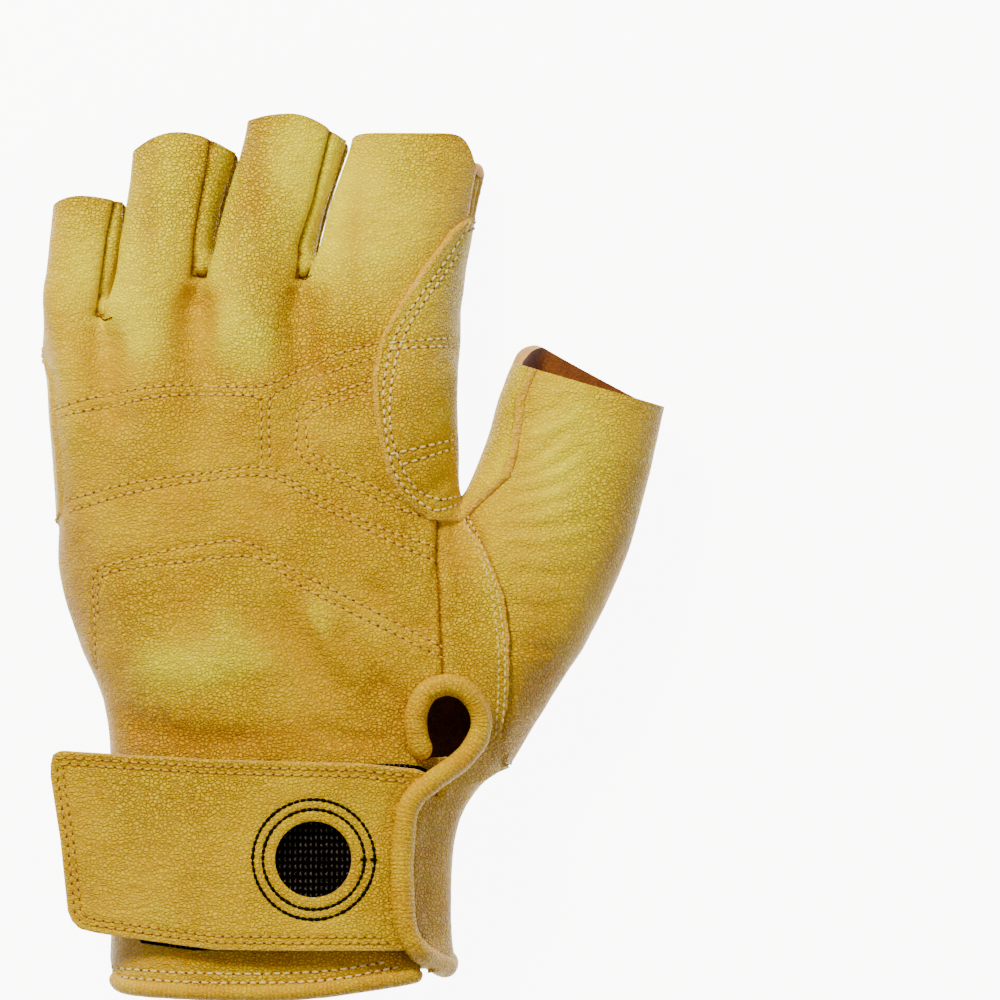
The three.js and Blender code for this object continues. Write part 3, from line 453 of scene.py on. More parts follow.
@dataclass(frozen=True)
class HemSpan:
    """The turns between which the cuff's two hems run."""

    top_from: float = 0.105
    top_to: float = 0.47
    palm_from: float = 0.985
    palm_to: float = 0.54
    corner: float = 0.045
    step: float = 0.022
    inset: float = 0.5


@dataclass(frozen=True)
class Lean:
    """Where the fingers' lower parts begin to stand further right, and how far."""

    start: float = 0.2
    end: float = 0.3
    slope: float = 0.32
    level: float = 0.3


@dataclass(frozen=True)
class PadPlace:
    """The loop pad's edges as shares."""

    left: float = -0.5
    right: float = 0.135
    low: float = -0.444
    high: float = -0.2335


@dataclass(frozen=True)
class HolePlace:
    """The middle of the strap's round hole as shares."""

    x: float = -0.092
    y: float = -0.341


@dataclass(frozen=True)
class StrapBend:
    """Where the strap bends down past the cuff's side, and how steeply."""

    start: float = -0.42
    slope: float = 0.24


@dataclass(frozen=True)
class Tube:
    """How far a tube's section runs below the floor, as a share of the height, and how square it is."""

    sink: float
    power: float


@dataclass(frozen=True)
class Blends:
    """How softly the hand's tubes run into each other, in shares of the height."""

    web: float = 0.25
    fingers: float = 0.05
    knuckles: float = 0.14
    thumb: float = 0.2
    floor: float = 0.08


@dataclass(frozen=True)
class Seams:
    """Where seams and mouths begin to turn: lengthwise in shares of the length, else of the height."""

    mouth_from: float = 0.55
    mouth_over: float = 0.4
    mouth_longer: float = 0.03
    fingers_from: float = 0.22
    thumb_from: float = 0.42
    thumb_over: float = 0.3
    strip_from: float = 0.2
    strip_over: float = 0.2
    root_from: float = 0.15
    root_over: float = 0.6
    split_above: float = 0.45
    flap_from: float = -0.27
    side_from: float = 0.24
    side_drop: float = 0.08
    layer_from: float = 0.037


@dataclass(frozen=True)
class Trims:
    """Where the shell is finely meshed, in millimetres, how deep it runs into the rolls, in their radii,
    and in shares of the hand's sizes where it is cut for the hole and the flap."""

    fine: float = 1.7
    fine_root: float = 1.8
    fine_edge: float = 0.6
    binding: float = 0.55
    hem: float = 0.4
    flap: float = 0.3
    strap: float = 0.6
    hole_above: float = 0.45
    flap_from: float = -0.24


@dataclass(frozen=True)
class FlapLift:
    """How the flap rises beside its binding: shares of the hand's sizes, then millimetres."""

    start: float = -0.25
    over: float = 0.05
    wide: float = 0.1
    height: float = 3.0


@dataclass(frozen=True)
class Sound:
    """How far a drawn row may lie off the leather, how steep it may run, and its distance from a mouth."""

    off: float = 0.3
    upright: float = 0.25
    back: float = 0.8
    back_under: float = 3.0


HAND_TUBE = Tube(0.1, 2.5)
FINGER_TUBE = Tube(0.02, 2.3)
THUMB_TUBE = Tube(0.06, 2.2)
BLENDS = Blends()
SEAMS = Seams()
TRIMS = Trims()
FLAP_LIFT = FlapLift()
SOUND = Sound()
THUMB_RIM = ThumbRim()
HEM_SPAN = HemSpan()
LEAN = Lean()
UPPER = 0.5
SIDE_SEAM = 0.4
WEB_SLOPE = 0.9
THUMB_PAST = 0.02
PAD = PadPlace()
STRAP_HOLE = HolePlace()
STRAP_LIFT = 2.6
STRAP_BEND = StrapBend()
STRAP_ROWS = (1.75, 3.3)

# How far the pad lies above the leather, how far it reaches past the strap, and how far before the
# binding the strap's rows stop, in millimetres
PAD_LIFT = 0.2
PAD_PAST = 0.9
ROW_STOP = 8.0

# The binding's first rows go round the slit's hole, and the last ones run down the flap
HOLE_ROWS = 9
FLAP_ROW = 7

# How far a roll's tip stands out, in its radii, the spread of the stitches' sizes, and how rough noise is
TIP_SHARE = 0.25
STITCH_SCALES = (0.88, 1.1)
STITCH_SEED = 5
NOISE_ROUGHNESS = 0.55

# The stitches' sizes in millimetres: a thread, a needle's dent, the black rings, fine thread and a tack
SEAM = {"Pitch": 2.35, "Length": 1.85, "Width": 0.68, "Height": 0.6, "Shift": 0.0, "Rise": 0.12}
MARK = {"Pitch": 2.35, "Length": 0.85, "Width": 0.6, "Height": 0.2, "Shift": 1.17, "Rise": 0.03}
RING = {"Pitch": 1.7, "Length": 2.0, "Width": 0.95, "Height": 0.6, "Shift": 0.0, "Rise": 0.12}
FINE = {"Pitch": 2.0, "Length": 1.55, "Width": 0.5, "Height": 0.45, "Shift": 0.0, "Rise": 0.1}
TACK = {"Pitch": 0.9, "Length": 0.75, "Width": 0.5, "Height": 0.45, "Shift": 0.0, "Rise": 0.1}

# Rows sewn through the back, in the photograph's pixels
BACK_ROWS = [
    ((52, 411), (99, 396), (168, 386), (237, 387), (271, 384), (320, 360), (378, 343)),
    ((64, 416), (99, 408), (168, 396), (230, 395), (255, 397), (262, 406), (262.5, 463)),
    ((374, 358), (313, 377), (280, 391), (271, 406), (270.7, 461)),
    ((67, 500), (133, 483), (202, 474), (266, 468), (308, 490), (372, 524), (432, 546)),
    ((71, 511), (133, 493), (202, 481), (271, 477), (322, 506), (391, 541), (433, 560)),
    ((371, 381), (322, 397), (301, 408), (298, 430), (299, 452), (326, 474), (384, 502), (424, 517)),
    ((371, 391), (326, 406), (309, 416), (307, 430), (311, 450), (335, 467), (391, 495), (402, 499)),
    ((97, 666), (93, 611), (95, 575), (121, 562), (193, 546), (246, 542), (291, 568), (358, 602), (442, 646)),
    ((97, 618), (100, 582), (121, 570), (193, 561), (255, 557), (304, 587), (358, 615), (442, 657)),
]

# Rows sewn through the second layer on the index side
LAYER_ROWS = [
    ((470, 214), (450, 250), (402, 323), (387, 367), (384, 410), (395, 474), (428, 509), (456, 505)),
    ((456, 252), (410, 323), (393, 376), (391, 432), (409, 482), (434, 499), (454, 497)),
    ((393, 344), (459, 338)),
    ((394, 350), (457, 347)),
    ((393, 453), (454, 439)),
    ((404, 463), (454, 447)),
]

# Rows beside the thumb's root seam
THUMB_ROWS = [
    ((462, 515), (476, 543), (490, 585), (498, 640), (499, 690), (496, 734)),
    ((468, 517), (482, 545), (496, 587), (504, 640), (505, 690), (502, 736)),
]

# Rows above the back's hem, and the short dark ones at the ends of the finger strips
HEM_ROWS = [
    ((111, 967), (180, 971), (260, 972), (330, 969), (382, 961)),
    ((106, 975), (180, 980), (260, 981), (330, 978), (396, 966)),
]
NUB_ROWS = [
    ((99, 316), (106, 321), (114, 318)),
    ((197, 274), (204, 279), (212, 275)),
    ((299, 276), (306, 281), (314, 277)),
]
TACK_ROWS = [
    ((514, 384), (525, 390)),
    ((505, 471), (516, 476)),
]

# Folds on the upper side: two ends in pixels, then half width and height in millimetres
FOLDS = [
    (207, 280, 202, 390, 4.5, -1.9),
    (310, 280, 322, 390, 4.5, -1.9),
    (110, 318, 117, 440, 4.5, -1.6),
    (160, 210, 150, 380, 9.0, 0.7),
    (262, 200, 250, 380, 9.0, 0.8),
    (360, 230, 345, 350, 10.0, 0.6),
    (70, 340, 78, 460, 5.0, 0.5),
    (508, 470, 570, 425, 1.3, -0.5),
    (504, 482, 590, 440, 1.2, -0.55),
    (500, 496, 596, 462, 1.3, -0.6),
    (497, 512, 588, 486, 1.2, -0.5),
    (494, 526, 600, 512, 1.5, -0.6),
    (496, 545, 585, 540, 1.3, -0.45),
    (500, 566, 592, 570, 1.5, -0.5),
    (505, 600, 575, 606, 1.6, -0.5),
    (508, 640, 560, 650, 1.8, -0.6),
    (520, 420, 575, 392, 1.2, -0.4),
    (520, 435, 585, 410, 1.1, 0.35),
    (438, 555, 443, 690, 1.3, -0.7),
    (448, 560, 470, 640, 2.2, 0.5),
    (452, 600, 474, 680, 1.4, -0.5),
    (367, 571, 440, 640, 3.0, -1.3),
    (267, 582, 409, 735, 4.5, -2.0),
    (335, 610, 400, 705, 3.0, -1.6),
    (300, 590, 385, 690, 4.0, 1.2),
    (120, 660, 260, 650, 7.0, 1.0),
    (105, 712, 280, 740, 4.5, -1.9),
    (115, 735, 300, 745, 2.4, 0.5),
    (215, 590, 280, 680, 5.0, 0.8),
    (300, 720, 405, 738, 2.5, -1.0),
    (300, 400, 380, 450, 5.0, 0.5),
    (75, 520, 100, 650, 5.0, -0.9),
    (380, 470, 430, 540, 3.0, -0.4),
    (430, 440, 452, 350, 4.0, 0.4),
    (410, 500, 450, 470, 2.0, -0.4),
]

# Painted shade on the fingers' edges, the back's lower part, the cuff and along the strap: middle and half
# widths in pixels, then how much
SHADE_SPOTS = [
    (240, 740, 190, 22, 0.9),
    (150, 220, 10, 80, 0.5),
    (258, 190, 8, 80, 0.5),
    (355, 240, 10, 90, 0.4),
    (100, 680, 26, 60, 0.6),
    (72, 590, 16, 90, 0.5),
    (625, 590, 26, 90, 0.6),
    (540, 680, 34, 50, 0.6),
    (408, 700, 22, 50, 0.6),
    (330, 660, 50, 30, 0.35),
    (420, 440, 36, 90, 0.4),
    (205, 310, 12, 50, 0.15),
    (308, 310, 12, 50, 0.15),
    (115, 350, 12, 50, 0.15),
    (240, 440, 130, 60, 0.35),
    (300, 520, 120, 40, 0.25),
    (460, 560, 20, 60, 0.35),
    (230, 850, 180, 90, 0.15),
    (75, 850, 30, 90, 0.5),
    (260, 957, 190, 9, 0.9),
    (425, 860, 40, 110, 0.4),
]

# The padded ends of the finger strips, which also take a painted highlight and a ring of painted shade, in
# the same way
NUBS = [(105, 305, 7, 9, 1.0), (205, 264, 9, 10, 1.0), (307, 264, 9, 10, 1.0)]

# Painted highlights where the light catches the finger tops, knuckles, thumb and back, in the same way
HIGHLIGHT_SPOTS = [
    (165, 185, 44, 90, 0.9),
    (295, 165, 46, 100, 0.9),
    (395, 190, 60, 110, 0.8),
    (80, 260, 34, 80, 0.8),
    (240, 343, 40, 40, 0.9),
    (140, 330, 34, 50, 0.6),
    (575, 470, 60, 120, 0.9),
    (490, 600, 26, 80, 0.5),
    (188, 666, 80, 30, 0.35),
    (340, 600, 30, 24, 0.25),
    (180, 455, 110, 40, 0.3),
]

# Painted light on the strips beside the fingers, which lie in shade, in the same way
STRIP_LIGHT = [
    (228, 170, 12, 40, 1.0),
    (214, 235, 12, 45, 1.0),
    (338, 170, 14, 40, 1.0),
    (318, 235, 14, 50, 1.0),
    (120, 225, 12, 35, 1.0),
    (110, 285, 10, 35, 1.0),
]


@dataclass(frozen=True)
class Cut:
    """A flat piece's cut: its width and length in metres and its area in square metres."""

    flat: tuple[float, float]
    area: float


def share_x(share: float) -> float:
    """Turns a share of the knuckles' width into millimetres."""
    return share * KNUCKLE_WIDTH


def share_y(share: float) -> float:
    """Turns a share of the glove's length into millimetres."""
    return share * GLOVE_LENGTH


def share_z(share: float) -> float:
    """Turns a share of the hand's height into millimetres."""
    return share * HAND_HEIGHT


def edges_at(rows: Table, at: Points) -> tuple[Points, Points]:
    """Reads where a tube's left and right edges lie."""
    return share_x(rows.smooth("left", at)), share_x(rows.smooth("right", at))


def soft_min(a: Points, b: Points, reach: float) -> Points:
    """Joins two distances smoothly."""
    h = np.maximum(reach - np.abs(a - b), 0) / reach
    return np.minimum(a, b) - h * h * reach / 4


def soft_max(a: Points, b: Points, reach: float) -> Points:
    """Cuts one distance by another smoothly."""
    return -soft_min(-a, -b, reach)


def unit(v: Points) -> Points:
    """Scales each vector to length one."""
    return v / np.maximum(np.linalg.norm(v, axis=-1, keepdims=True), 1e-9)


def curve(points: Points, step: float = STEP) -> Points:
    """Runs a smooth curve through points.

    Args:
        points: the points, in two or three columns.
        step: the spacing of the result in millimetres.

    Returns:
        Evenly spaced points on the curve.
    """
    p = np.asarray(points, dtype=float)
    if len(p) == 2:
        p = np.array([p[0], p.mean(0), p[1]])
    q = np.vstack([2 * p[:1] - p[1:2], p, 2 * p[-1:] - p[-2:-1]])
    dense = []
    for a, b, c, d in zip(q[:-3], q[1:-2], q[2:-1], q[3:]):
        t = np.linspace(0, 1, CURVE_PARTS, endpoint=False)[:, None]
        dense.append(
            b
            + (c - a) * t / 2
            + (2 * a - 5 * b + 4 * c - d) * t * t / 2
            + (3 * b - a - 3 * c + d) * t * t * t / 2
        )
    line = np.vstack([*dense, q[-2:-1]])
    run = np.concatenate([[0], np.cumsum(np.linalg.norm(np.diff(line, axis=0), axis=1))])
    at = np.linspace(0, run[-1], max(int(run[-1] / step), 2) + 1)
    return np.stack([np.interp(at, run, line[:, k]) for k in range(line.shape[1])], axis=1)


def photo(*pixels: tuple[float, float]) -> Points:
    """Turns pixels of the photograph into the hand's millimetres."""
    p = np.array(pixels, dtype=float)
    return np.stack([(p[:, 0] - PHOTO_X) * PHOTO_SCALE, (PHOTO_Y - p[:, 1]) * PHOTO_SCALE], axis=1)


def nearness(points: Points, samples: Points) -> Points:
    """Finds each point's distance to the nearest of some samples."""
    tree = KDTree(len(samples))
    for i, s in enumerate(samples):
        tree.insert(s, i)
    tree.balance()
    return np.array([tree.find(p)[2] for p in points])


class Noise:
    """Smooth seeded noise from a random lattice, from -1 to 1."""

    def __init__(self, seed: int) -> None:
        """Fills the lattice."""
        self.size = 32
        self.lattice = np.random.default_rng(seed).uniform(-1, 1, (self.size,) * 3)

    def read(self, points: Points, wave: float) -> Points:
        """Reads the noise.

        Args:
            points: places in millimetres.
            wave: the lattice's spacing in millimetres.

        Returns:
            One value for each place.
        """
        p = points / wave + 64
        i = np.floor(p).astype(int)
        f = p - i
        f = f * f * (3 - 2 * f)
        total = 0.0
        for corner in range(8):
            bits = np.array([corner & 1, (corner >> 1) & 1, (corner >> 2) & 1])
            weight = np.prod(np.where(bits, f, 1 - f), axis=-1)
            j = (i + bits) % self.size
            total = total + weight * self.lattice[j[..., 0], j[..., 1], j[..., 2]]
        return total

    def waves(self, points: Points, table: tuple[tuple[float, float, float], ...]) -> Points:
        """Adds up a table's waves."""
        return sum(self.read(points + shift, wave) * height for shift, wave, height in table)


# Waves of noise: how far each is shifted, how long it is and how high, in millimetres
UNEVEN = ((0, 19.0, 0.5), (40, 7.5, 0.2), (80, 2.6, 0.06))
EDGE_UNEVEN = ((20, 3.0, 0.12),)
STRAP_UNEVEN = ((0, 22.0, 0.35), (30, 8.0, 0.14))
PAD_UNEVEN = ((0, 1.7, 0.16), (0, 7.0, 0.2))


def lean_at(y: Points, z: Points) -> Points:
    """Finds how far to the left a place stands for the fingers' lean."""
    share = np.clip((y / GLOVE_LENGTH - LEAN.start) / (LEAN.end - LEAN.start), 0, 1)
    return LEAN.slope * share * (z - share_z(LEAN.level))


class HandForm:
    """The outer surface of the leather's first layer, as a distance."""

    def section(self, x: Points, z: Points, rows: Table, at: Points, tube: Tube) -> Points:
        """Measures the distance from a tube's upright rounded section.

        Args:
            x: across the hand.
            z: upwards.
            rows: the tube's outline and top.
            at: the share along the glove.
            tube: how deep and how square it is.

        Returns:
            Distances, negative inside.
        """
        left, right = edges_at(rows, at)
        top = share_z(rows.smooth("top", at))
        low = FLOOR - share_z(tube.sink)
        power = tube.power
        a = (right - left) / 2
        b = (top - low) / 2
        u = np.abs(x - (left + right) / 2) / a
        w = np.abs(z - (low + top) / 2) / b
        q = np.maximum((u**power + w**power) ** (1 / power), 1e-3)
        size = np.hypot((u / q) ** (power - 1) / a, (w / q) ** (power - 1) / b)
        return np.where(q < 0.05, -np.minimum(a, b), (q - 1) / size)

    def distance(self, x: Points, y: Points, z: Points) -> Points:
        """Measures the distance to the hand's surface, negative inside."""
        at = y / GLOVE_LENGTH
        across = x + lean_at(y, z)
        body = self.section(across, z, HAND, at, HAND_TUBE)
        reach = share_y(WEB.smooth("reach", across / KNUCKLE_WIDTH))
        whole = soft_max(body, (y - reach) * WEB_SLOPE, share_z(BLENDS.web))
        fingers = np.full_like(body, HAND_HEIGHT * 2)
        for finger in FINGERS:
            tube = self.section(across, z, finger.rows, at, FINGER_TUBE)
            start = share_y(finger.rows.data["at"][0])
            fingers = soft_min(fingers, np.maximum(tube, start - y), share_z(BLENDS.fingers))
        whole = soft_min(whole, fingers, share_z(BLENDS.knuckles))
        first, last = share_y(THUMB.data["at"][0]), share_y(THUMB.data["at"][-1])
        ends = np.maximum(first - y, y - last - share_y(THUMB_PAST))
        thumb = np.maximum(self.section(x, z, THUMB, at, THUMB_TUBE), ends)
        whole = soft_min(whole, thumb, share_z(BLENDS.thumb))
        return soft_max(whole, FLOOR - z, share_z(BLENDS.floor))

    def at(self, p: Points) -> Points:
        """Measures the distance at points."""
        return self.distance(p[:, 0], p[:, 1], p[:, 2])

    def outward(self, p: Points) -> Points:
        """Finds the outward direction at points."""
        h = 0.4 * np.eye(3)
        return unit(np.stack([self.at(p + step) - self.at(p - step) for step in h], axis=1))

    def settled(self, p: Points, rounds: int = 3) -> Points:
        """Moves points onto the surface."""
        for _ in range(rounds):
            p = p - self.at(p)[:, None] * self.outward(p)
        return p

    def level(self, xy: Points) -> Points:
        """Finds the upper surface at places seen from above."""
        low, high = (np.full(len(xy), share_z(end)) for end in LEVEL_SPAN)
        for _ in range(HALVINGS):
            mid = (low + high) / 2
            inside = self.distance(xy[:, 0], xy[:, 1], mid) < 0
            low = np.where(inside, mid, low)
            high = np.where(inside, high, mid)
        return np.column_stack([xy, low])

    def turned(self, turn: Points, y: Points) -> Points:
        """Finds points on the cuff at turns about its middle and at places along the glove."""
        at = y / GLOVE_LENGTH
        left, right = edges_at(HAND, at)
        top = share_z(HAND.smooth("top", at))
        u = np.cos(turn * 2 * np.pi) * (right - left) / 2
        w = np.sin(turn * 2 * np.pi) * (top - FLOOR) / 2
        low, high = (np.full_like(u, end) for end in TURN_SPAN)
        for _ in range(HALVINGS):
            s = (low + high) / 2
            inside = self.distance((left + right) / 2 + u * s, y, (FLOOR + top) / 2 + w * s) < 0
            low, high = np.where(inside, s, low), np.where(inside, high, s)
        return np.column_stack([(left + right) / 2 + u * low, y, (FLOOR + top) / 2 + w * low])


HAND_FORM = HandForm()


@dataclass
class Surface:
    """An open sheet of triangles with its outward directions."""

    points: Points
    normals: Points
    triangles: Points

    @staticmethod
    def hand() -> "Surface":
        """Meshes the hand's surface with one point in each grid cell that it passes through."""
        low = np.array([share_x(-0.8), share_y(-0.52), -1.0])
        high = np.array([share_x(0.79), share_y(0.52), share_z(1.14)])
        counts = np.ceil((high - low) / CELL).astype(int)
        grid = [low[k] + CELL * np.arange(counts[k] + 1) for k in range(3)]
        x, y, z = grid[0][:, None, None], grid[1][None, :, None], grid[2][None, None, :]
        values = HAND_FORM.distance(x + 0 * z, y + 0 * z, z + 0 * y)
        inside = values < 0
        near = [np.array([a & 1, (a >> 1) & 1, a >> 2]) for a in range(8)]
        parts = [tuple(slice(k, k + count) for k, count in zip(shift, counts)) for shift in near]
        total = sum(inside[part].astype(int) for part in parts)
        cells = np.argwhere((total > 0) & (total < 8))
        ids = np.full(total.shape, -1)
        ids[tuple(cells.T)] = np.arange(len(cells))
        place = np.zeros((len(cells), 3))
        hits = np.zeros(len(cells))
        for shift in near:
            start = cells + shift
            for k in range(3):
                if shift[k]:
                    continue
                end = start + np.eye(3, dtype=int)[k]
                v, w = values[tuple(start.T)], values[tuple(end.T)]
                crossed = (v < 0) != (w < 0)
                t = np.where(crossed, v / np.where(crossed, v - w, 1), 0)
                p = start.astype(float)
                p[:, k] += t
                place += p * crossed[:, None]
                hits += crossed
        points = HAND_FORM.settled(low + CELL * place / hits[:, None])
        quads = []
        for k in range(3):
            ua, ub = np.eye(3, dtype=int)[(k + 1) % 3], np.eye(3, dtype=int)[(k + 2) % 3]
            edge = np.argwhere(np.diff(inside, axis=k))
            fits = ((edge - ua - ub) >= 0).all(1) & (edge < total.shape).all(1)
            edge = edge[fits]
            ring = np.stack([ids[tuple((edge - s).T)] for s in (0 * ua, ua, ua + ub, ub)], axis=1)
            flip = ~inside[tuple(edge.T)]
            ring[flip] = ring[flip][:, ::-1]
            quads.append(ring[(ring >= 0).all(1)])
        q = np.vstack(quads)
        across = np.linalg.norm(points[q[:, 0]] - points[q[:, 2]], axis=1)
        other = np.linalg.norm(points[q[:, 1]] - points[q[:, 3]], axis=1)
        first = np.where((across <= other)[:, None], q[:, [0, 1, 2]], q[:, [0, 1, 3]])
        second = np.where((across <= other)[:, None], q[:, [0, 2, 3]], q[:, [1, 2, 3]])
        return Surface(points, HAND_FORM.outward(points), np.vstack([first, second]))

    def crossings(self, value: Points) -> tuple[Points, Points, list[Points], tuple[Points, Points], Points]:
        """Finds what a value's zero line crosses.

        Args:
            value: one number for each point.

        Returns:
            How many corners of each triangle lie above zero, whether each crossed one has only one there,
            its corners from the lone one on, the crossed edges' ends, and each triangle's two crossed edges.
        """
        plus = value > 0
        count = plus[self.triangles].sum(1)
        mixed = (count == 1) | (count == 2)
        t = self.triangles[mixed]
        alone = count[mixed] == 1
        lone = np.argmax(plus[t] == alone[:, None], axis=1)
        row = np.arange(len(t))
        corners = [t[row, (lone + k) % 3] for k in range(3)]
        ends = np.sort(np.concatenate([np.stack([corners[0], corners[k]], 1) for k in (1, 2)]), axis=1)
        keys, inverse = np.unique(ends[:, 0] * len(value) + ends[:, 1], return_inverse=True)
        return count, alone, corners, (keys // len(value), keys % len(value)), inverse.reshape(2, -1)

    def split(self, value: Points) -> tuple["Surface", "Surface"]:
        """Cuts every triangle along the zero line of a value per point.

        Args:
            value: one number for each point.

        Returns:
            The part above zero and the rest.
        """
        tri = self.triangles
        count, alone, (a, b, c), (u, v), cut = self.crossings(value)
        s = np.clip(value[u] / np.where(value[u] == value[v], 1, value[u] - value[v]), 0.05, 0.95)[:, None]
        points = np.vstack([self.points, self.points[u] + (self.points[v] - self.points[u]) * s])
        normals = np.vstack([self.normals, unit(self.normals[u] + (self.normals[v] - self.normals[u]) * s)])
        ab, ac = cut + len(value)
        tips = np.stack([a, ab, ac], 1)
        stumps = np.vstack([np.stack([ab, b, c], 1), np.stack([ab, c, ac], 1)])
        two = np.concatenate([alone, alone])
        inside = np.vstack([tri[count == 3], tips[alone], stumps[~two]])
        outside = np.vstack([tri[count == 0], tips[~alone], stumps[two]])
        return Surface(points, normals, inside).trimmed(), Surface(points, normals, outside).trimmed()

    def trimmed(self) -> "Surface":
        """Drops the points that no triangle uses."""
        used, inverse = np.unique(self.triangles, return_inverse=True)
        return Surface(self.points[used], self.normals[used], inverse.reshape(-1, 3))

    def keep(self, measure: Measure) -> "Surface":
        """Keeps what lies above a measure's zero line."""
        return self.split(measure(self.points))[0]

    def refined(self, near: Points) -> "Surface":
        """Halves the edges between chosen points.

        Args:
            near: whether each point lies where the mesh is to be finer.

        Returns:
            The finer surface.
        """
        tri = self.triangles
        count = len(self.points)
        ends = np.sort(np.stack([tri, np.roll(tri, -1, axis=1)], axis=2), axis=2)
        marked = near[ends[..., 0]] & near[ends[..., 1]]
        keys = ends[..., 0] * count + ends[..., 1]
        unique, inverse = np.unique(keys[marked], return_inverse=True)
        middle = np.full(tri.shape, -1)
        middle[marked] = inverse.reshape(-1) + count
        u, v = unique // count, unique % count
        points = np.vstack([self.points, (self.points[u] + self.points[v]) / 2])
        normals = np.vstack([self.normals, unit(self.normals[u] + self.normals[v])])
        cuts = marked.sum(1)
        turn = np.where(cuts == 1, np.argmax(marked, axis=1), (np.argmax(~marked, axis=1) + 1) % 3)
        row = np.arange(len(tri))
        a, b, c = (tri[row, (turn + k) % 3] for k in range(3))
        ab, bc, ca = (middle[row, (turn + k) % 3] for k in range(3))
        parts = [tri[cuts == 0]]
        for number, faces in (
            (1, ((a, ab, c), (ab, b, c))),
            (2, ((ab, b, bc), (a, ab, c), (ab, bc, c))),
            (3, ((a, ab, ca), (ab, b, bc), (ca, bc, c), (ab, bc, ca))),
        ):
            parts += [np.stack(face, 1)[cuts == number] for face in faces]
        return Surface(points, normals, np.vstack(parts))

    def contour(self, value: Points) -> tuple[Points, Points, Points]:
        """Traces the zero line of a value per point.

        Args:
            value: one number for each point.

        Returns:
            The line's points, their outward directions and its edges.
        """
        _, _, _, (u, v), cut = self.crossings(value)
        s = (value[u] / (value[u] - value[v]))[:, None]
        points = self.points[u] + (self.points[v] - self.points[u]) * s
        return points, unit(self.normals[u] * (1 - s) + self.normals[v] * s), cut.T

    def rim(self) -> Points:
        """Lists the open edges in their triangles' direction."""
        ends = np.concatenate([self.triangles[:, [k, (k + 1) % 3]] for k in range(3)])
        count = len(self.points)
        forth, back = ends[:, 0] * count + ends[:, 1], ends[:, 1] * count + ends[:, 0]
        return ends[~np.isin(forth, back)]


class Side(Enum):
    """The three kinds of face of a leather wall."""

    OUTER = 0
    INNER = 1
    EDGE = 2


@dataclass
class Wall:
    """A closed wall over a surface, between two heights above it."""

    surface: Surface
    low: float
    high: float
    relief: Points

    def piece(self, name: str, finishes: list["Finish"], marks: dict[str, Points]) -> bpy.types.Object:
        """Makes the wall's mesh.

        Args:
            name: the piece's name.
            finishes: the outer, inner and edge finish.
            marks: named numbers for each point of the surface, kept as attributes.

        Returns:
            The finished object.
        """
        s = self.surface
        edges = s.rim()
        outer = s.points + s.normals * (self.high + self.relief)[:, None]
        inner = s.points + s.normals * (self.low + self.relief)[:, None]
        count = len(s.points)
        a, b = edges[:, 0], edges[:, 1]
        strips = np.vstack([np.stack([b, a, count + a], 1), np.stack([b, count + a, count + b], 1)])
        triangles = np.vstack([s.triangles, count + s.triangles[:, ::-1], strips])
        kinds = np.repeat([k.value for k in Side], [len(s.triangles), len(s.triangles), len(strips)])
        both = {key: np.concatenate([value, value]) for key, value in marks.items()}
        return build(name, np.vstack([outer, inner]), triangles, finishes, kinds, both)


def build(
    name: str,
    points: Points,
    triangles: Points,
    finishes: list["Finish"],
    kinds: Points | None = None,
    marks: dict[str, Points] | None = None,
    sharp: float = 50.0,
) -> bpy.types.Object:
    """Makes a mesh object from arrays in the hand's millimetres.

    Args:
        name: the object's name.
        points: the points.
        triangles: the triangles, or quads.
        finishes: the finishes in slot order.
        kinds: each face's slot.
        marks: named numbers for each point.
        sharp: the angle in degrees past which an edge stays sharp.

    Returns:
        The object, linked to the scene.
    """
    mesh = bpy.data.meshes.new(name)
    place = (points - np.array([MIDDLE_X, MIDDLE_Y, 0.0])) * MILLI
    sides = triangles.shape[1]
    mesh.vertices.add(len(place))
    mesh.vertices.foreach_set("co", place.astype(np.float32).ravel())
    mesh.loops.add(triangles.size)
    mesh.loops.foreach_set("vertex_index", triangles.astype(np.int32).ravel())
    mesh.polygons.add(len(triangles))
    mesh.polygons.foreach_set("loop_start", np.arange(0, triangles.size, sides, dtype=np.int32))
    mesh.polygons.foreach_set("loop_total", np.full(len(triangles), sides, dtype=np.int32))
    for finish in finishes:
        mesh.materials.append(finish.material())
    if kinds is not None:
        mesh.polygons.foreach_set("material_index", kinds.astype(np.int32))
    mesh.update(calc_edges=True)
    mesh.validate()
    mesh.polygons.foreach_set("use_smooth", np.ones(len(mesh.polygons), dtype=bool))
    for key, value in (marks or {}).items():
        mesh.attributes.new(key, "FLOAT", "POINT").data.foreach_set("value", value.astype(np.float32))
    mesh.set_sharp_from_angle(angle=math.radians(sharp))
    return added(name, mesh)


def added(name: str, data: bpy.types.ID) -> bpy.types.Object:
    """Adds an object to the scene."""
    made = bpy.data.objects.new(name, data)
    bpy.context.scene.collection.objects.link(made)
    return made


class Tree:
    """A node tree that is filled node by node."""

    def __init__(self, tree: bpy.types.NodeTree) -> None:
        """Keeps the tree."""
        self.tree = tree

    def node(self, kind: str, settings: dict | None = None, **values: object) -> bpy.types.Node:
        """Adds a node.

        Args:
            kind: the node's type.
            settings: its own settings, set first.
            values: a value or a link for each socket, by name with _ for a space, or sN for the Nth.

        Returns:
            The node.
        """
        made = self.tree.nodes.new(kind)
        for key, value in (settings or {}).items():
            setattr(made, key, value)
        for key, value in values.items():
            index = int(key[1:]) if key[0] == "s" and key[1:].isdigit() else key.replace("_", " ")
            self.plug(made.inputs[index], value)
        return made

    def first(self, kind: str, settings: dict | None = None, **values: object) -> bpy.types.NodeSocket:
        """Adds a node as above and gives its first output."""
        return self.node(kind, settings, **values).outputs[0]

    def plug(self, socket: bpy.types.NodeSocket, value: object) -> None:
        """Links a socket or sets its value."""
        value = value.socket if isinstance(value, Num) else value
        if isinstance(value, bpy.types.NodeSocket):
            self.tree.links.new(value, socket)
        else:
            socket.default_value = value


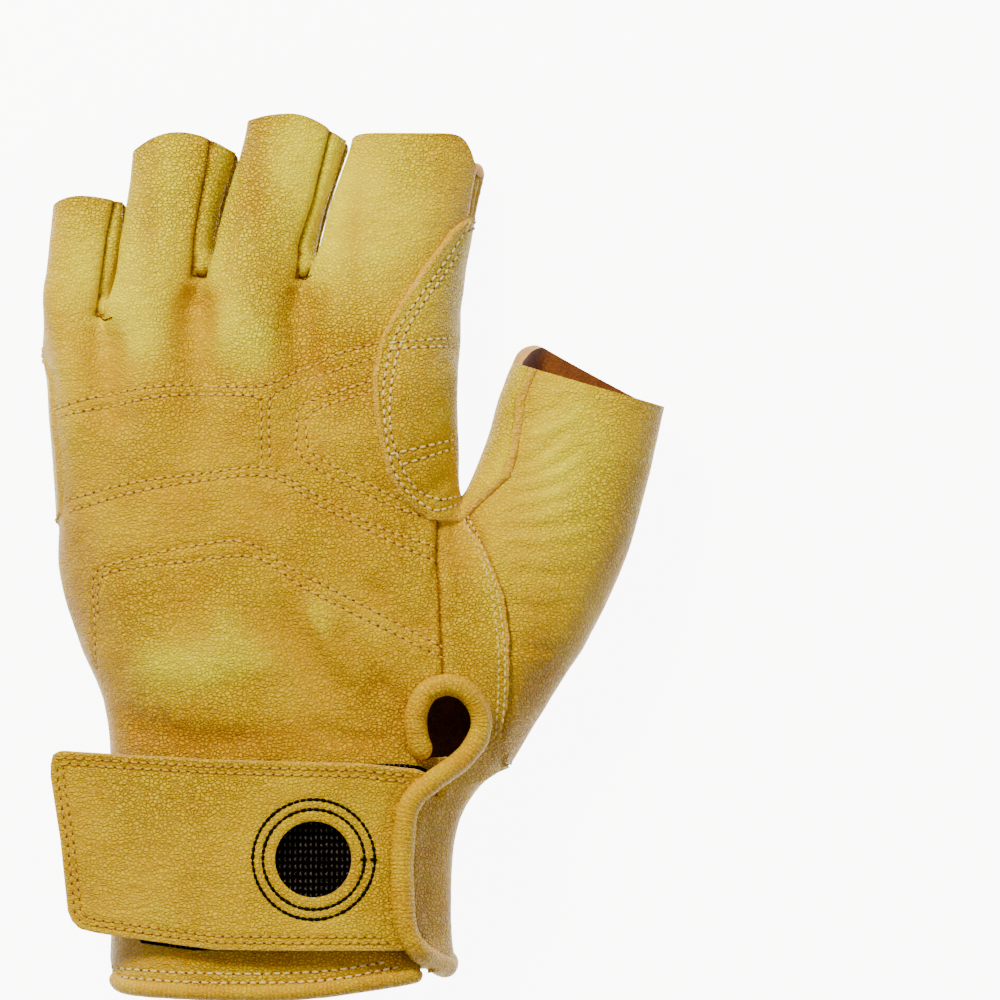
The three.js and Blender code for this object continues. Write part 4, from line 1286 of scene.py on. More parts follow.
class Shader(Tree):
    """A material under construction."""

    def __init__(self, name: str) -> None:
        """Starts with a bare principled shader."""
        self.made = bpy.data.materials.new(name)
        self.made.use_nodes = True
        super().__init__(self.made.node_tree)
        self.surface = self.tree.nodes["Principled BSDF"]
        self.place = self.node("ShaderNodeTexCoord").outputs["Object"]

    def along(self, axis: str) -> "Num":
        """Reads one of the object's coordinates in metres."""
        return Num(self, self.node("ShaderNodeSeparateXYZ", Vector=self.place).outputs[axis])

    def mark(self, name: str) -> "Num":
        """Reads a named number of the mesh."""
        return Num(self, self.node("ShaderNodeAttribute", {"attribute_name": name}).outputs["Fac"])

    def noise(self, size: float, detail: float = 3.0, place: object = None) -> "Num":
        """Adds noise of a size in millimetres."""
        sizes = {"Scale": 1 / (size * MILLI), "Detail": detail, "Roughness": NOISE_ROUGHNESS}
        return Num(self, self.node("ShaderNodeTexNoise", Vector=place or self.place, **sizes).outputs["Fac"])

    def cells(self, size: float, place: object = None, feature: str = "F1") -> "Num":
        """Adds a cell pattern of a size in millimetres."""
        kind, scale = {"feature": feature}, 1 / (size * MILLI)
        made = self.node("ShaderNodeTexVoronoi", kind, Vector=place or self.place, Scale=scale)
        return Num(self, made.outputs["Distance"])

    def vector(self, operation: str, **values: object) -> bpy.types.NodeSocket:
        """Adds a Vector Math node."""
        return self.node("ShaderNodeVectorMath", {"operation": operation}, **values).outputs[0]

    def stretched(self, place: object, scale: tuple[float, float, float]) -> bpy.types.NodeSocket:
        """Scales coordinates, so that what they carry shrinks by as much."""
        return self.vector("MULTIPLY", s0=place, s1=scale)

    def stirred(self, size: float, shift: float) -> bpy.types.NodeSocket:
        """Shifts the object's coordinates about, both in millimetres."""
        scale = 1 / (size * MILLI)
        noise = self.node("ShaderNodeTexNoise", Vector=self.place, Scale=scale, Detail=1.0).outputs["Color"]
        centred = self.vector("SUBTRACT", s0=noise, s1=(0.5, 0.5, 0.5))
        return self.vector("ADD", s0=self.place, s1=self.vector("SCALE", s0=centred, Scale=2 * shift * MILLI))

    def blend(self, factor: object, a: object, b: object) -> bpy.types.NodeSocket:
        """Mixes two colours."""
        made = self.node("ShaderNodeMix", {"data_type": "RGBA"}, s0=factor)
        self.plug(made.inputs[6], a)
        self.plug(made.inputs[7], b)
        return made.outputs[2]

    def dress(self, **values: object) -> bpy.types.Material:
        """Links or sets the surface's sockets, by name with _ for a space, and gives the material."""
        for key, value in values.items():
            self.plug(self.surface.inputs[key.replace("_", " ")], value)
        return self.made

    def bump(self, height: object, distance: float) -> bpy.types.NodeSocket:
        """Turns a height into a normal, the distance in millimetres."""
        return self.node("ShaderNodeBump", Height=height, Distance=distance * MILLI).outputs[0]


class Num:
    """A value socket that takes part in sums."""

    def __init__(self, shader: Shader, socket: bpy.types.NodeSocket) -> None:
        """Wraps a socket."""
        self.shader = shader
        self.socket = socket

    def math(self, operation: str, a: object, b: object = 0.0) -> "Num":
        """Adds a Math node."""
        made = self.shader.node("ShaderNodeMath", {"operation": operation}, s0=a, s1=b)
        return Num(self.shader, made.outputs[0])

    def __add__(self, other: object) -> "Num":
        """Adds."""
        return self.math("ADD", self, other)

    def __radd__(self, other: object) -> "Num":
        """Adds."""
        return self.math("ADD", other, self)

    def __sub__(self, other: object) -> "Num":
        """Takes away."""
        return self.math("SUBTRACT", self, other)

    def __rsub__(self, other: object) -> "Num":
        """Takes this away."""
        return self.math("SUBTRACT", other, self)

    def __mul__(self, other: object) -> "Num":
        """Multiplies."""
        return self.math("MULTIPLY", self, other)

    def sine(self) -> "Num":
        """Takes the sine."""
        return self.math("SINE", self)

    def span(self, low: float, high: float) -> "Num":
        """Stretches the range from low to high over 0 to 1, with soft ends."""
        kind = {"interpolation_type": "SMOOTHSTEP"}
        made = self.shader.node("ShaderNodeMapRange", kind, Value=self, From_Min=low, From_Max=high)
        return Num(self.shader, made.outputs[0])


def tone(red: int, green: int, blue: int) -> tuple[float, float, float, float]:
    """Turns a display colour of 0 to 255 into a linear one."""
    line = [c / 255 for c in (red, green, blue)]
    return (*[c / 12.92 if c <= 0.04045 else ((c + 0.055) / 1.055) ** 2.4 for c in line], 1.0)


@dataclass(frozen=True)
class Finish:
    """A finish whose material is made once."""

    name: str

    def material(self) -> bpy.types.Material:
        """Finds or makes the material."""
        return bpy.data.materials.get(self.name) or self.mixed(Shader(self.name))

    def mixed(self, s: Shader) -> bpy.types.Material:
        """Makes the material."""
        raise NotImplementedError


@dataclass(frozen=True)
class GoatLeather(Finish):
    """Golden pebbled leather with dark furrows, painted shade in its folds, seams and hollows, painted
    highlights and pale cut edges.
    """

    name: str = "goat_leather"
    pebble: float = 1.05
    depth: float = 0.5
    gathers: float = 0.0
    mid: Colour = (232, 194, 0)
    warm: Colour = (226, 176, 0)
    # The painted highlights' colour
    pale: Colour = (255, 242, 4)
    # The painted shade's colour, also the wrinkles' deeper tone
    deep: Colour = (196, 136, 0)
    # The grain furrows' colour, also the painted shade in the rolls' gathers
    furrow: Colour = (166, 96, 0)
    # The colour of the painted shade and the dark seam and row lines
    dark: Colour = (112, 46, 0)
    raw: Colour = (232, 186, 84)

    def mixed(self, s: Shader) -> bpy.types.Material:
        """Makes the material."""
        stirred = s.stretched(s.stirred(1.8, 0.4), (1.0, 1.25, 1.0))
        furrow = 1.0 - s.cells(self.pebble, stirred, "DISTANCE_TO_EDGE").span(0.0, 0.22)
        broad = s.noise(34.0, 1.0)
        patches = s.noise(9.0, 3.0)
        fine = s.noise(0.9, 2.0, stirred)
        wrinkles = s.noise(3.4, 3.0, s.stretched(s.stirred(12.0, 3.0), (0.7, 1.9, 1.0)))
        shade_and_seam_lines, shade_and_deep_tone, highlight_and_pale_tone, raw = (s.mark(name) for name in ("shade_and_seam_lines", "shade_and_deep_tone", "highlight_and_pale_tone", "raw"))
        coarse = 0.55 + broad.span(0.3, 0.75) * 0.6 - highlight_and_pale_tone * 0.2
        gold = s.blend(patches.span(0.3, 0.7), tone(*self.mid), tone(*self.warm))
        # Painted highlights, in the highlight colour
        bright = (highlight_and_pale_tone * 0.75 + (patches - 0.5) * highlight_and_pale_tone).span(0.0, 1.0)
        gold = s.blend(bright, gold, tone(*self.pale))
        # Painted shade from its mark, and on the rolls a deeper tone where they run thinner
        gold = s.blend((shade_and_deep_tone + (patches - 0.5) * 0.4 * shade_and_deep_tone) * 0.75, gold, tone(*self.deep))
        gold = s.blend(wrinkles.span(0.55, 0.8) * 0.3, gold, tone(*self.deep))
        gold = s.blend(furrow * coarse * 0.55, gold, tone(*self.furrow))
        # Painted shade and the dark seam and row lines, in the dark colour
        dark = (shade_and_seam_lines + (fine - 0.5) * 0.4).span(0.1, 1.0) * 0.85
        gold = s.blend(dark, gold, tone(*self.dark))
        height = wrinkles * 1.1 + fine * 0.2 - furrow * coarse * 0.75
        if self.gathers:
            run = s.mark("run") + (wrinkles - 0.5) * 1.6
            pleat = (run * (2 * math.pi / self.gathers)).sine() * 0.5 + 0.5
            # Painted shade in the gathers' folds
            gold = s.blend(pleat.span(0.35, 1.0) * 0.22, gold, tone(*self.furrow))
            height = height * 0.4 - pleat * 0.22
        fibre = (raw + (s.noise(0.6, 2.0) - 0.5) * 0.35).span(0.35, 0.6)
        worn = s.blend(fine.span(0.35, 0.65), tone(*self.raw), tone(*self.warm))
        gold = s.blend(fibre, gold, worn)
        rough = 0.46 + fine * 0.14 + shade_and_seam_lines * 0.1 + fibre * 0.25
        normal = s.bump(height, self.depth)
        return s.dress(Base_Color=gold, Roughness=rough, Normal=normal, Specular_IOR_Level=0.1)


@dataclass(frozen=True)
class Suede(Finish):
    """The leather's brushed inner side."""

    name: str = "suede"

    def mixed(self, s: Shader) -> bpy.types.Material:
        """Makes the material."""
        nap = s.noise(0.5, 4.0)
        cloud = s.noise(9.0, 3.0)
        brown = s.blend(cloud.span(0.3, 0.7), tone(118, 56, 14), tone(158, 88, 28))
        brown = s.blend(nap.span(0.3, 0.7) * 0.6, brown, tone(74, 28, 6))
        return s.dress(Base_Color=brown, Normal=s.bump(nap + cloud * 0.3, 0.25), Roughness=0.92)


@dataclass(frozen=True)
class RawEdge(Finish):
    """The pale fibrous cut edge of the leather."""

    name: str = "raw_edge"

    def mixed(self, s: Shader) -> bpy.types.Material:
        """Makes the material."""
        fibre = s.noise(0.4, 5.0)
        patch = s.noise(6.0, 3.0)
        tan = s.blend(patch.span(0.3, 0.7), tone(216, 152, 52), tone(234, 186, 84))
        tan = s.blend(fibre.span(0.35, 0.7) * 0.5, tan, tone(180, 104, 20))
        return s.dress(Base_Color=tan, Normal=s.bump(fibre, 0.2), Roughness=0.85)


@dataclass(frozen=True)
class Thread(Finish):
    """Twisted sewing thread."""

    name: str = "cream_thread"
    light: Colour = (250, 236, 176)
    dark: Colour = (206, 166, 84)

    def mixed(self, s: Shader) -> bpy.types.Material:
        """Makes the material."""
        twist = s.noise(0.35, 2.0)
        soil = s.noise(8.0, 3.0)
        shade = twist.span(0.3, 0.7) * 0.6 + soil.span(0.4, 0.7) * 0.3
        colour = s.blend(shade, tone(*self.light), tone(*self.dark))
        return s.dress(Base_Color=colour, Normal=s.bump(twist, 0.12), Roughness=0.8, Specular_IOR_Level=0.1)


@dataclass(frozen=True)
class NeedleMark(Finish):
    """The dark dent that a needle leaves between two stitches."""

    name: str = "needle_mark"

    def mixed(self, s: Shader) -> bpy.types.Material:
        """Makes the material."""
        fade = s.noise(3.0, 2.0)
        colour = s.blend(fade.span(0.3, 0.7), tone(96, 46, 0), tone(140, 82, 0))
        return s.dress(Base_Color=colour, Roughness=0.9)


@dataclass(frozen=True)
class LoopFabric(Finish):
    """The black fuzzy half of the hook-and-loop closure."""

    name: str = "black_loops"
    loop: float = 1.8
    rib: float = 1.3

    def mixed(self, s: Shader) -> bpy.types.Material:
        """Makes the material."""
        fuzz = s.noise(0.5, 5.0, s.stirred(1.5, 0.6))
        tuft = s.cells(1.1, s.stirred(2.0, 0.7))
        sway = (s.along("Y") * (2 * math.pi / (self.loop * MILLI))).sine()
        rib = (s.along("X") * (2 * math.pi / (self.rib * MILLI)) + sway * 0.9).sine()
        knit = rib * 0.5 + sway * rib * 0.5
        thread = knit.span(0.1, 0.9) * fuzz.span(0.35, 0.6) + fuzz.span(0.6, 0.8) * 0.25
        colour = s.blend(thread.span(0.0, 1.0), tone(6, 3, 3), tone(92, 84, 82))
        normal = s.bump(fuzz * 1.2 - tuft + knit * 0.3, 0.5)
        return s.dress(Base_Color=colour, Normal=normal, Roughness=0.95, Specular_IOR_Level=0.0)


@dataclass(frozen=True)
class PaleFloor(Finish):
    """The studio's matt white floor."""

    name: str = "pale_floor"

    def mixed(self, s: Shader) -> bpy.types.Material:
        """Makes the material."""
        glow = {"Emission_Color": (1.0, 1.0, 1.0, 1.0), "Emission_Strength": 9.0}
        return s.dress(Base_Color=(0.84, 0.87, 0.96, 1.0), Roughness=0.9, **glow)


LEATHER_SIDES: list[Finish] = [GoatLeather(), Suede(), RawEdge()]


def turn_at(p: Points) -> Points:
    """Finds the turn about the cuff's middle, from the thumb side over the top."""
    at = p[:, 1] / GLOVE_LENGTH
    left, right = edges_at(HAND, at)
    top = share_z(HAND.smooth("top", at))
    u = (p[:, 0] - (left + right) / 2) / (right - left)
    w = (p[:, 2] - (FLOOR + top) / 2) / (top - FLOOR)
    return (np.arctan2(w, u) / (2 * np.pi)) % 1


def finger_mouth(p: Points) -> Points:
    """Measures how far a place lies below its finger's rim."""
    at = p[:, 1] / GLOVE_LENGTH
    across = p[:, 0] + lean_at(p[:, 1], p[:, 2])
    lanes = [share_x(LANES.smooth(lane, at)) for lane in ("first", "second", "third")]
    number = sum((across > lane).astype(int) for lane in lanes)
    value = np.full(len(p), HAND_HEIGHT)
    for i, finger in enumerate(FINGERS):
        left, right = edges_at(finger.rows, at)
        u = np.clip((2 * across - left - right) / (right - left), -1, 1)
        low, middle, high = finger.rim
        edge = middle + np.where(u < 0, low - middle, high - middle) * np.abs(u) ** finger.turn
        top = share_z(finger.rows.smooth("top", at))
        under = np.clip((top * SEAMS.mouth_from - p[:, 2]) / (top * SEAMS.mouth_over), 0, 1)
        value = np.where(number == i, share_y(edge - SEAMS.mouth_longer * under) - p[:, 1], value)
    beside = (at < SEAMS.fingers_from) | (p[:, 0] > share_x(LANES.smooth("crotch", at)))
    return np.where(beside, HAND_HEIGHT, value)


def thumb_mouth(p: Points) -> Points:
    """Measures how far a place lies below the thumb's rim."""
    at = p[:, 1] / GLOVE_LENGTH
    left, right = edges_at(THUMB, at)
    u = (2 * p[:, 0] - left - right) / (right - left)
    under = np.clip((share_z(SEAMS.thumb_from) - p[:, 2]) / share_z(SEAMS.thumb_over), 0, 1)
    more = (THUMB_RIM.longer - THUMB_RIM.slant * u) * under
    lean = math.atan(THUMB_RIM.lean)
    value = share_y(THUMB_RIM.rim + more) - p[:, 0] * math.sin(lean) - p[:, 1] * math.cos(lean)
    return np.where(p[:, 0] < share_x(LANES.smooth("crotch", at)), HAND_HEIGHT, value)


def cuff_end(p: Points) -> Points:
    """Measures how far a place lies above the cuff's hem."""
    return p[:, 1] - share_y(CUFF_HEM.smooth("y", turn_at(p)))


def flap_line(y: Points) -> Points:
    """Reads the binding's middle line down the flap."""
    x, down = BINDING.data["x"][FLAP_ROW:], -BINDING.data["y"][FLAP_ROW:]
    return share_x(np.interp(-y / GLOVE_LENGTH, down, x))


def between(p: Points, strip: Fourchette) -> Points:
    """Measures how far a place lies inside a strip between two fingers."""
    at = p[:, 1] / GLOVE_LENGTH
    middle = share_x(LANES.smooth(strip.lane, at))
    above = np.clip((p[:, 2] - share_z(SEAMS.strip_from)) / share_z(SEAMS.strip_over), 0, 1)
    under = middle - FOURCHETTE_EDGE
    start = under + (share_x(strip.rows.straight("seam", at)) - under) * above
    low = p[:, 0] + lean_at(p[:, 1], p[:, 2])
    side = low + (p[:, 0] - low) * above - start
    return np.minimum.reduce([side, middle - low, p[:, 1] - share_y(strip.end)])


def thumb_side(p: Points) -> Points:
    """Measures how far a place lies on the thumb's side of its root seam."""
    at = p[:, 1] / GLOVE_LENGTH
    over, under = share_x(THUMB_ROOT.straight("over", at)), share_x(THUMB_ROOT.straight("under", at))
    part = np.clip((p[:, 2] - share_z(SEAMS.root_from)) / share_z(SEAMS.root_over), 0, 1)
    return p[:, 0] - under - (over - under) * part


def thumb_over(p: Points) -> Points:
    """Measures how far a place lies on the upper piece of the thumb."""
    split = share_x(THUMB_SPLIT.straight("x", p[:, 1] / GLOVE_LENGTH))
    return np.maximum(p[:, 2] - share_z(SEAMS.split_above), p[:, 0] - split)


def back_side(p: Points) -> Points:
    """Measures how far a place lies on the back panel."""
    at = p[:, 1] / GLOVE_LENGTH
    edge = np.where(at < SEAMS.flap_from, flap_line(p[:, 1]), share_x(BACK_EDGE.straight("x", at)))
    seam = share_z(np.where(at > SEAMS.side_from, SIDE_SEAM - SEAMS.side_drop, SIDE_SEAM))
    return np.minimum(p[:, 2] - seam, edge - p[:, 0])


def second_layer(p: Points) -> Points:
    """Measures how far a place lies inside the second layer's edge."""
    at = p[:, 1] / GLOVE_LENGTH
    wrap = share_z(WRAP_HEIGHT.smooth("z", at))
    palm = np.minimum(wrap - p[:, 2], p[:, 1] - share_y(LOWER_EDGE.straight("y", p[:, 0] / KNUCKLE_WIDTH)))
    crotch = share_x(LANES.smooth("crotch", at))
    index = np.where(p[:, 0] < crotch, p[:, 0] - share_x(RAW_EDGE.straight("x", at)), HAND_HEIGHT * 4)
    strip = share_x(THUMB_STRIP.straight("x", at)) - p[:, 0]
    upper = np.minimum.reduce([index, strip, p[:, 1] - share_y(SEAMS.layer_from)])
    return np.minimum.reduce([np.maximum(palm, upper), *[-between(p, f) for f in FOURCHETTES]])


def strap_corners() -> Points:
    """Lists the corners of the strap's outline."""
    return np.column_stack([share_x(STRAP_OUTLINE.data["x"]), share_y(STRAP_OUTLINE.data["y"])])


def pad_place(p: Points) -> Points:
    """Measures how far a place lies inside the loop pad."""
    across = np.minimum(p[:, 0] - share_x(PAD.left), flap_line(p[:, 1]) - BINDING_RADIUS - p[:, 0])
    along = np.minimum(p[:, 1] - share_y(PAD.low), share_y(PAD.high) - p[:, 1])
    past_strap = outline_place(strap_corners(), p) + PAD_PAST
    return np.minimum.reduce([across, along, p[:, 2] - share_z(UPPER), past_strap])


def outline_place(corners: Points, p: Points) -> Points:
    """Measures how far places lie inside a closed outline seen from above."""
    nearest = np.full(len(p), np.inf)
    inside = np.zeros(len(p), dtype=bool)
    for a, b in zip(corners, np.roll(corners, -1, axis=0)):
        run = b - a
        t = np.clip(((p[:, :2] - a) @ run) / (run @ run), 0, 1)
        nearest = np.minimum(nearest, np.linalg.norm(p[:, :2] - a - t[:, None] * run, axis=1))
        crossed = (a[1] > p[:, 1]) != (b[1] > p[:, 1])
        with np.errstate(divide="ignore", invalid="ignore"):
            inside ^= crossed & (p[:, 0] < a[0] + (p[:, 1] - a[1]) * run[0] / run[1])
    return np.where(inside, nearest, -nearest)


def hem_path(start: float, end: float, radius: float) -> Points:
    """Runs along the cuff's hem between two turns."""
    count = math.ceil(abs(end - start) / HEM_SPAN.step)
    turn = (start + (end - start) * np.arange(count + 1) / count) % 1
    p = HAND_FORM.turned(turn, share_y(CUFF_HEM.smooth("y", turn)))
    half = np.where(p[:, 2] > share_z(UPPER), -LEATHER / 2, LEATHER / 2)
    p[:, 0] -= HAND_FORM.outward(p)[:, 0] * radius * HEM_SPAN.inset
    p[:, 2] = np.maximum(p[:, 2] + half, radius + GAP)
    return p


def binding_path() -> Points:
    """Runs round the slit's hole, down the flap and along the palm's hem."""
    rows = BINDING.data
    over = HAND_FORM.level(np.column_stack([share_x(rows["x"]), share_y(rows["y"])]))
    over[:, 2] += rows["rise"] * BINDING_RADIUS
    along = hem_path(HEM_SPAN.palm_from + HEM_SPAN.corner, HEM_SPAN.palm_to, BINDING_RADIUS)
    return curve(np.vstack([over, along]), 0.5)


def bell(value: Points, width: float, middle: float = 0.0) -> Points:
    """Reads a soft bump that is 1 at its middle."""
    return np.exp(-(((value - middle) / width) ** 2))


def ovals(spots: list, p: Points) -> Points:
    """Adds up soft ovals given in the photograph's pixels.

    Args:
        spots: each one's middle and half widths in pixels, then its amount.
        p: the places.

    Returns:
        From 0 to 1 for each place.
    """
    total = np.zeros(len(p))
    for x, y, wide, high, amount in spots:
        middle = photo((x, y))[0]
        u = (p[:, 0] - middle[0]) / (wide * PHOTO_SCALE)
        v = (p[:, 1] - middle[1]) / (high * PHOTO_SCALE)
        total += amount * np.exp(-(u * u + v * v))
    return np.clip(total, 0, 1)


@dataclass(frozen=True)
class Dent:
    """A soft dent or mark along a line: how much, how wide and how far from the line."""

    amount: float
    width: float
    middle: float = 0.0

    def at(self, distance: Points) -> Points:
        """Reads it at distances from the line."""
        return self.amount * bell(distance, self.width, self.middle)


@dataclass(frozen=True)
class Dents:
    """How far the leather sinks or swells, in millimetres, and how dark its lines are, from 0 to 1."""

    seam: Dent = Dent(0.8, 0.7)
    welt: Dent = Dent(0.3, 1.4, 2.4)
    row: Dent = Dent(0.35, 0.8)
    layer_row: Dent = Dent(0.3, 0.8)
    lap: Dent = Dent(0.45, 2.5)
    root: Dent = Dent(0.75, 2.2)
    seam_mark: Dent = Dent(0.85, 0.55)
    row_mark: Dent = Dent(0.3, 0.6)
    nub_mark: Dent = Dent(0.6, 0.1, 0.25)
    edge_mark: Dent = Dent(0.5, 0.4, 1.5)
    root_mark: Dent = Dent(0.6, 0.7)
    nub: float = 1.8
    edge: float = 0.85
    side: float = 0.75
    side_from: float = -0.58
    side_over: float = 6.0
    flat_under: float = 0.8
    flat_groove: float = 0.7
    fold_bow: float = 0.08


@dataclass(frozen=True)
class ShadeLightAndEdges:
    """How strongly painted shade, painted highlights, the second layer's paler tone and raw edges show, from
    0 to 1, and their reaches.
    """

    fold: float = 0.07
    fold_most: float = 0.12
    steep: float = 0.5
    steep_from: float = 0.3
    mouth: float = 0.4
    mouth_wide: float = 1.6
    hollow: float = 0.15
    shade_fold: float = 0.15
    shade_most: float = 1.6
    shade_under: float = 0.35
    shade_hollow: float = 0.3
    highlight_fold: float = 0.6
    layer_paler: float = 0.35
    raw: float = 1.6
    raw_edge: float = 1.1
    raw_lap: float = 0.9


DENTS = Dents()
SHADE_LIGHT_AND_EDGES = ShadeLightAndEdges()


class Relief:
    """The leather's dents: sewn channels, seams, folds and gentle unevenness."""

    def __init__(self) -> None:
        """Prepares the noise and the sewn rows."""
        self.noise = Noise(11)
        self.rows = np.vstack([HAND_FORM.level(curve(photo(*r))) for r in BACK_ROWS + HEM_ROWS])
        self.top_rows = np.vstack([HAND_FORM.level(curve(photo(*r))) for r in LAYER_ROWS + THUMB_ROWS])

    def seam(self, p: Points) -> Points:
        """Measures the distance to the nearest turned seam."""
        lines = [np.where(thumb_side(p) > 0, np.abs(thumb_over(p)), HAND_HEIGHT)]
        lines.append(np.where(p[:, 2] < share_z(UPPER), np.abs(thumb_side(p)), HAND_HEIGHT))
        lines += [np.abs(between(p, f)) for f in FOURCHETTES]
        lines.append(np.where(thumb_side(p) < 0, np.abs(back_side(p)), HAND_HEIGHT))
        return np.minimum.reduce(lines)

    def folds(self, p: Points) -> Points:
        """Adds up the folds on the upper side."""
        total = np.zeros(len(p))
        for x0, y0, x1, y1, width, depth in FOLDS:
            a, b = photo((x0, y0), (x1, y1))
            run = b - a
            size = math.hypot(*run)
            t = ((p[:, :2] - a) @ run) / size**2
            bow = DENTS.fold_bow * size * np.sin(np.clip(t, 0, 1) * np.pi)
            side = ((p[:, 0] - a[0]) * run[1] - (p[:, 1] - a[1]) * run[0]) / size - bow
            ends = np.clip(np.minimum(t, 1 - t) * 4, 0, 1)
            ends = np.where((t > 0) & (t < 1), ends * ends * (3 - 2 * ends), 0)
            total += depth * ends * bell(side, width)
        return total

    def read(self, p: Points, n: Points, kind: "Sheet") -> tuple[Points, dict[str, Points]]:
        """Works out the leather's height and its marks.

        Args:
            p: places on the hand's surface.
            n: their outward directions.
            kind: which sheet of leather it is.

        Returns:
            The height in millimetres, and from 0 to 1 the painted shade with dark seam and row lines, more
            painted shade, the painted highlights with the second layer's paler tone, and the raw edge.
        """
        over = np.clip(n[:, 2] * 3, 0, 1)
        under = np.clip(-n[:, 2] * 3, 0, 1)
        uneven = self.noise.waves(p, UNEVEN)
        seam = np.full(len(p), HAND_HEIGHT) if kind is Sheet.SECOND else self.seam(p)
        rows = nearness(p, self.rows)
        layer_rows = nearness(p, self.top_rows)
        folds = self.folds(p) * over
        groove = DENTS.seam.at(seam) - DENTS.welt.at(seam)
        sewn = DENTS.row.at(rows) + DENTS.layer_row.at(layer_rows)
        height = uneven * (1 - DENTS.flat_under * under) + folds
        height = height - groove * (1 - DENTS.flat_groove * under) - sewn
        nub = ovals(NUBS, p) * np.clip(n[:, 2] * 6 + 1, 0, 1)
        height += DENTS.nub * nub
        # Painted shade with dark lines along the seams and sewn rows, darker still in fold valleys, on steep
        # sides, near the finger mouths, in hollows and in a ring round each nub, and below along the second
        # layer's edge and the thumb's root seam
        shade_and_seam_lines = DENTS.seam_mark.at(seam) + DENTS.row_mark.at(rows)
        steep = np.clip(SHADE_LIGHT_AND_EDGES.steep_from - np.abs(n[:, 2]), 0, 1)
        shade_and_seam_lines += np.clip(-folds * SHADE_LIGHT_AND_EDGES.fold, 0, SHADE_LIGHT_AND_EDGES.fold_most) + steep * SHADE_LIGHT_AND_EDGES.steep
        mouth = np.clip(1 - np.abs(finger_mouth(p)) / SHADE_LIGHT_AND_EDGES.mouth_wide, 0, 1)
        hollow = np.clip(-uneven, 0, 1)
        shade_and_seam_lines += SHADE_LIGHT_AND_EDGES.mouth * mouth + SHADE_LIGHT_AND_EDGES.hollow * hollow
        shade_and_seam_lines += DENTS.nub_mark.at(nub) - nub
        raw = np.zeros(len(p))
        lap = np.where(p[:, 2] > share_z(UPPER), thumb_side(p), HAND_HEIGHT)
        if kind is Sheet.SECOND:
            edge = second_layer(p) + self.noise.waves(p, EDGE_UNEVEN)
            raw = np.clip(SHADE_LIGHT_AND_EDGES.raw - edge / SHADE_LIGHT_AND_EDGES.raw_edge, 0, 1)
            beside = np.clip((share_x(DENTS.side_from) - p[:, 0]) / DENTS.side_over, 0, 1)
            height = height - DENTS.edge * np.clip(1 - edge, 0, 1) ** 2 - DENTS.side * beside
            shade_and_seam_lines = shade_and_seam_lines + DENTS.edge_mark.at(edge)
        elif kind is Sheet.HAND:
            raw = np.where(lap < 0, np.clip(SHADE_LIGHT_AND_EDGES.raw + lap / SHADE_LIGHT_AND_EDGES.raw_lap, 0, 1), 0)
            height = height + np.where(lap < 0, DENTS.lap.at(lap), 0)
        elif kind is Sheet.THUMB:
            height = height - DENTS.root.at(lap)
            shade_and_seam_lines = shade_and_seam_lines + DENTS.root_mark.at(lap)
        # Painted shade: the spots, the fold valleys, the undersides and the hollows
        shade_and_deep_tone = ovals(SHADE_SPOTS, p) * over + SHADE_LIGHT_AND_EDGES.shade_fold * np.clip(-folds, 0, SHADE_LIGHT_AND_EDGES.shade_most)
        shade_and_deep_tone = shade_and_deep_tone + SHADE_LIGHT_AND_EDGES.shade_under * under + SHADE_LIGHT_AND_EDGES.shade_hollow * hollow
        # Painted highlights on the spots, the nubs and the folds' ridges, painted light on the strips beside
        # the fingers, and a paler tone on the second layer
        highlight_and_pale_tone = ovals(HIGHLIGHT_SPOTS, p) * over + ovals(STRIP_LIGHT, p) + nub + SHADE_LIGHT_AND_EDGES.highlight_fold * np.clip(folds, 0, 1)
        highlight_and_pale_tone += SHADE_LIGHT_AND_EDGES.layer_paler if kind is Sheet.SECOND else 0.0
        marks = {"shade_and_seam_lines": shade_and_seam_lines, "shade_and_deep_tone": shade_and_deep_tone, "highlight_and_pale_tone": highlight_and_pale_tone, "raw": raw}
        return height, {name: np.clip(mark, 0, 1) for name, mark in marks.items()}


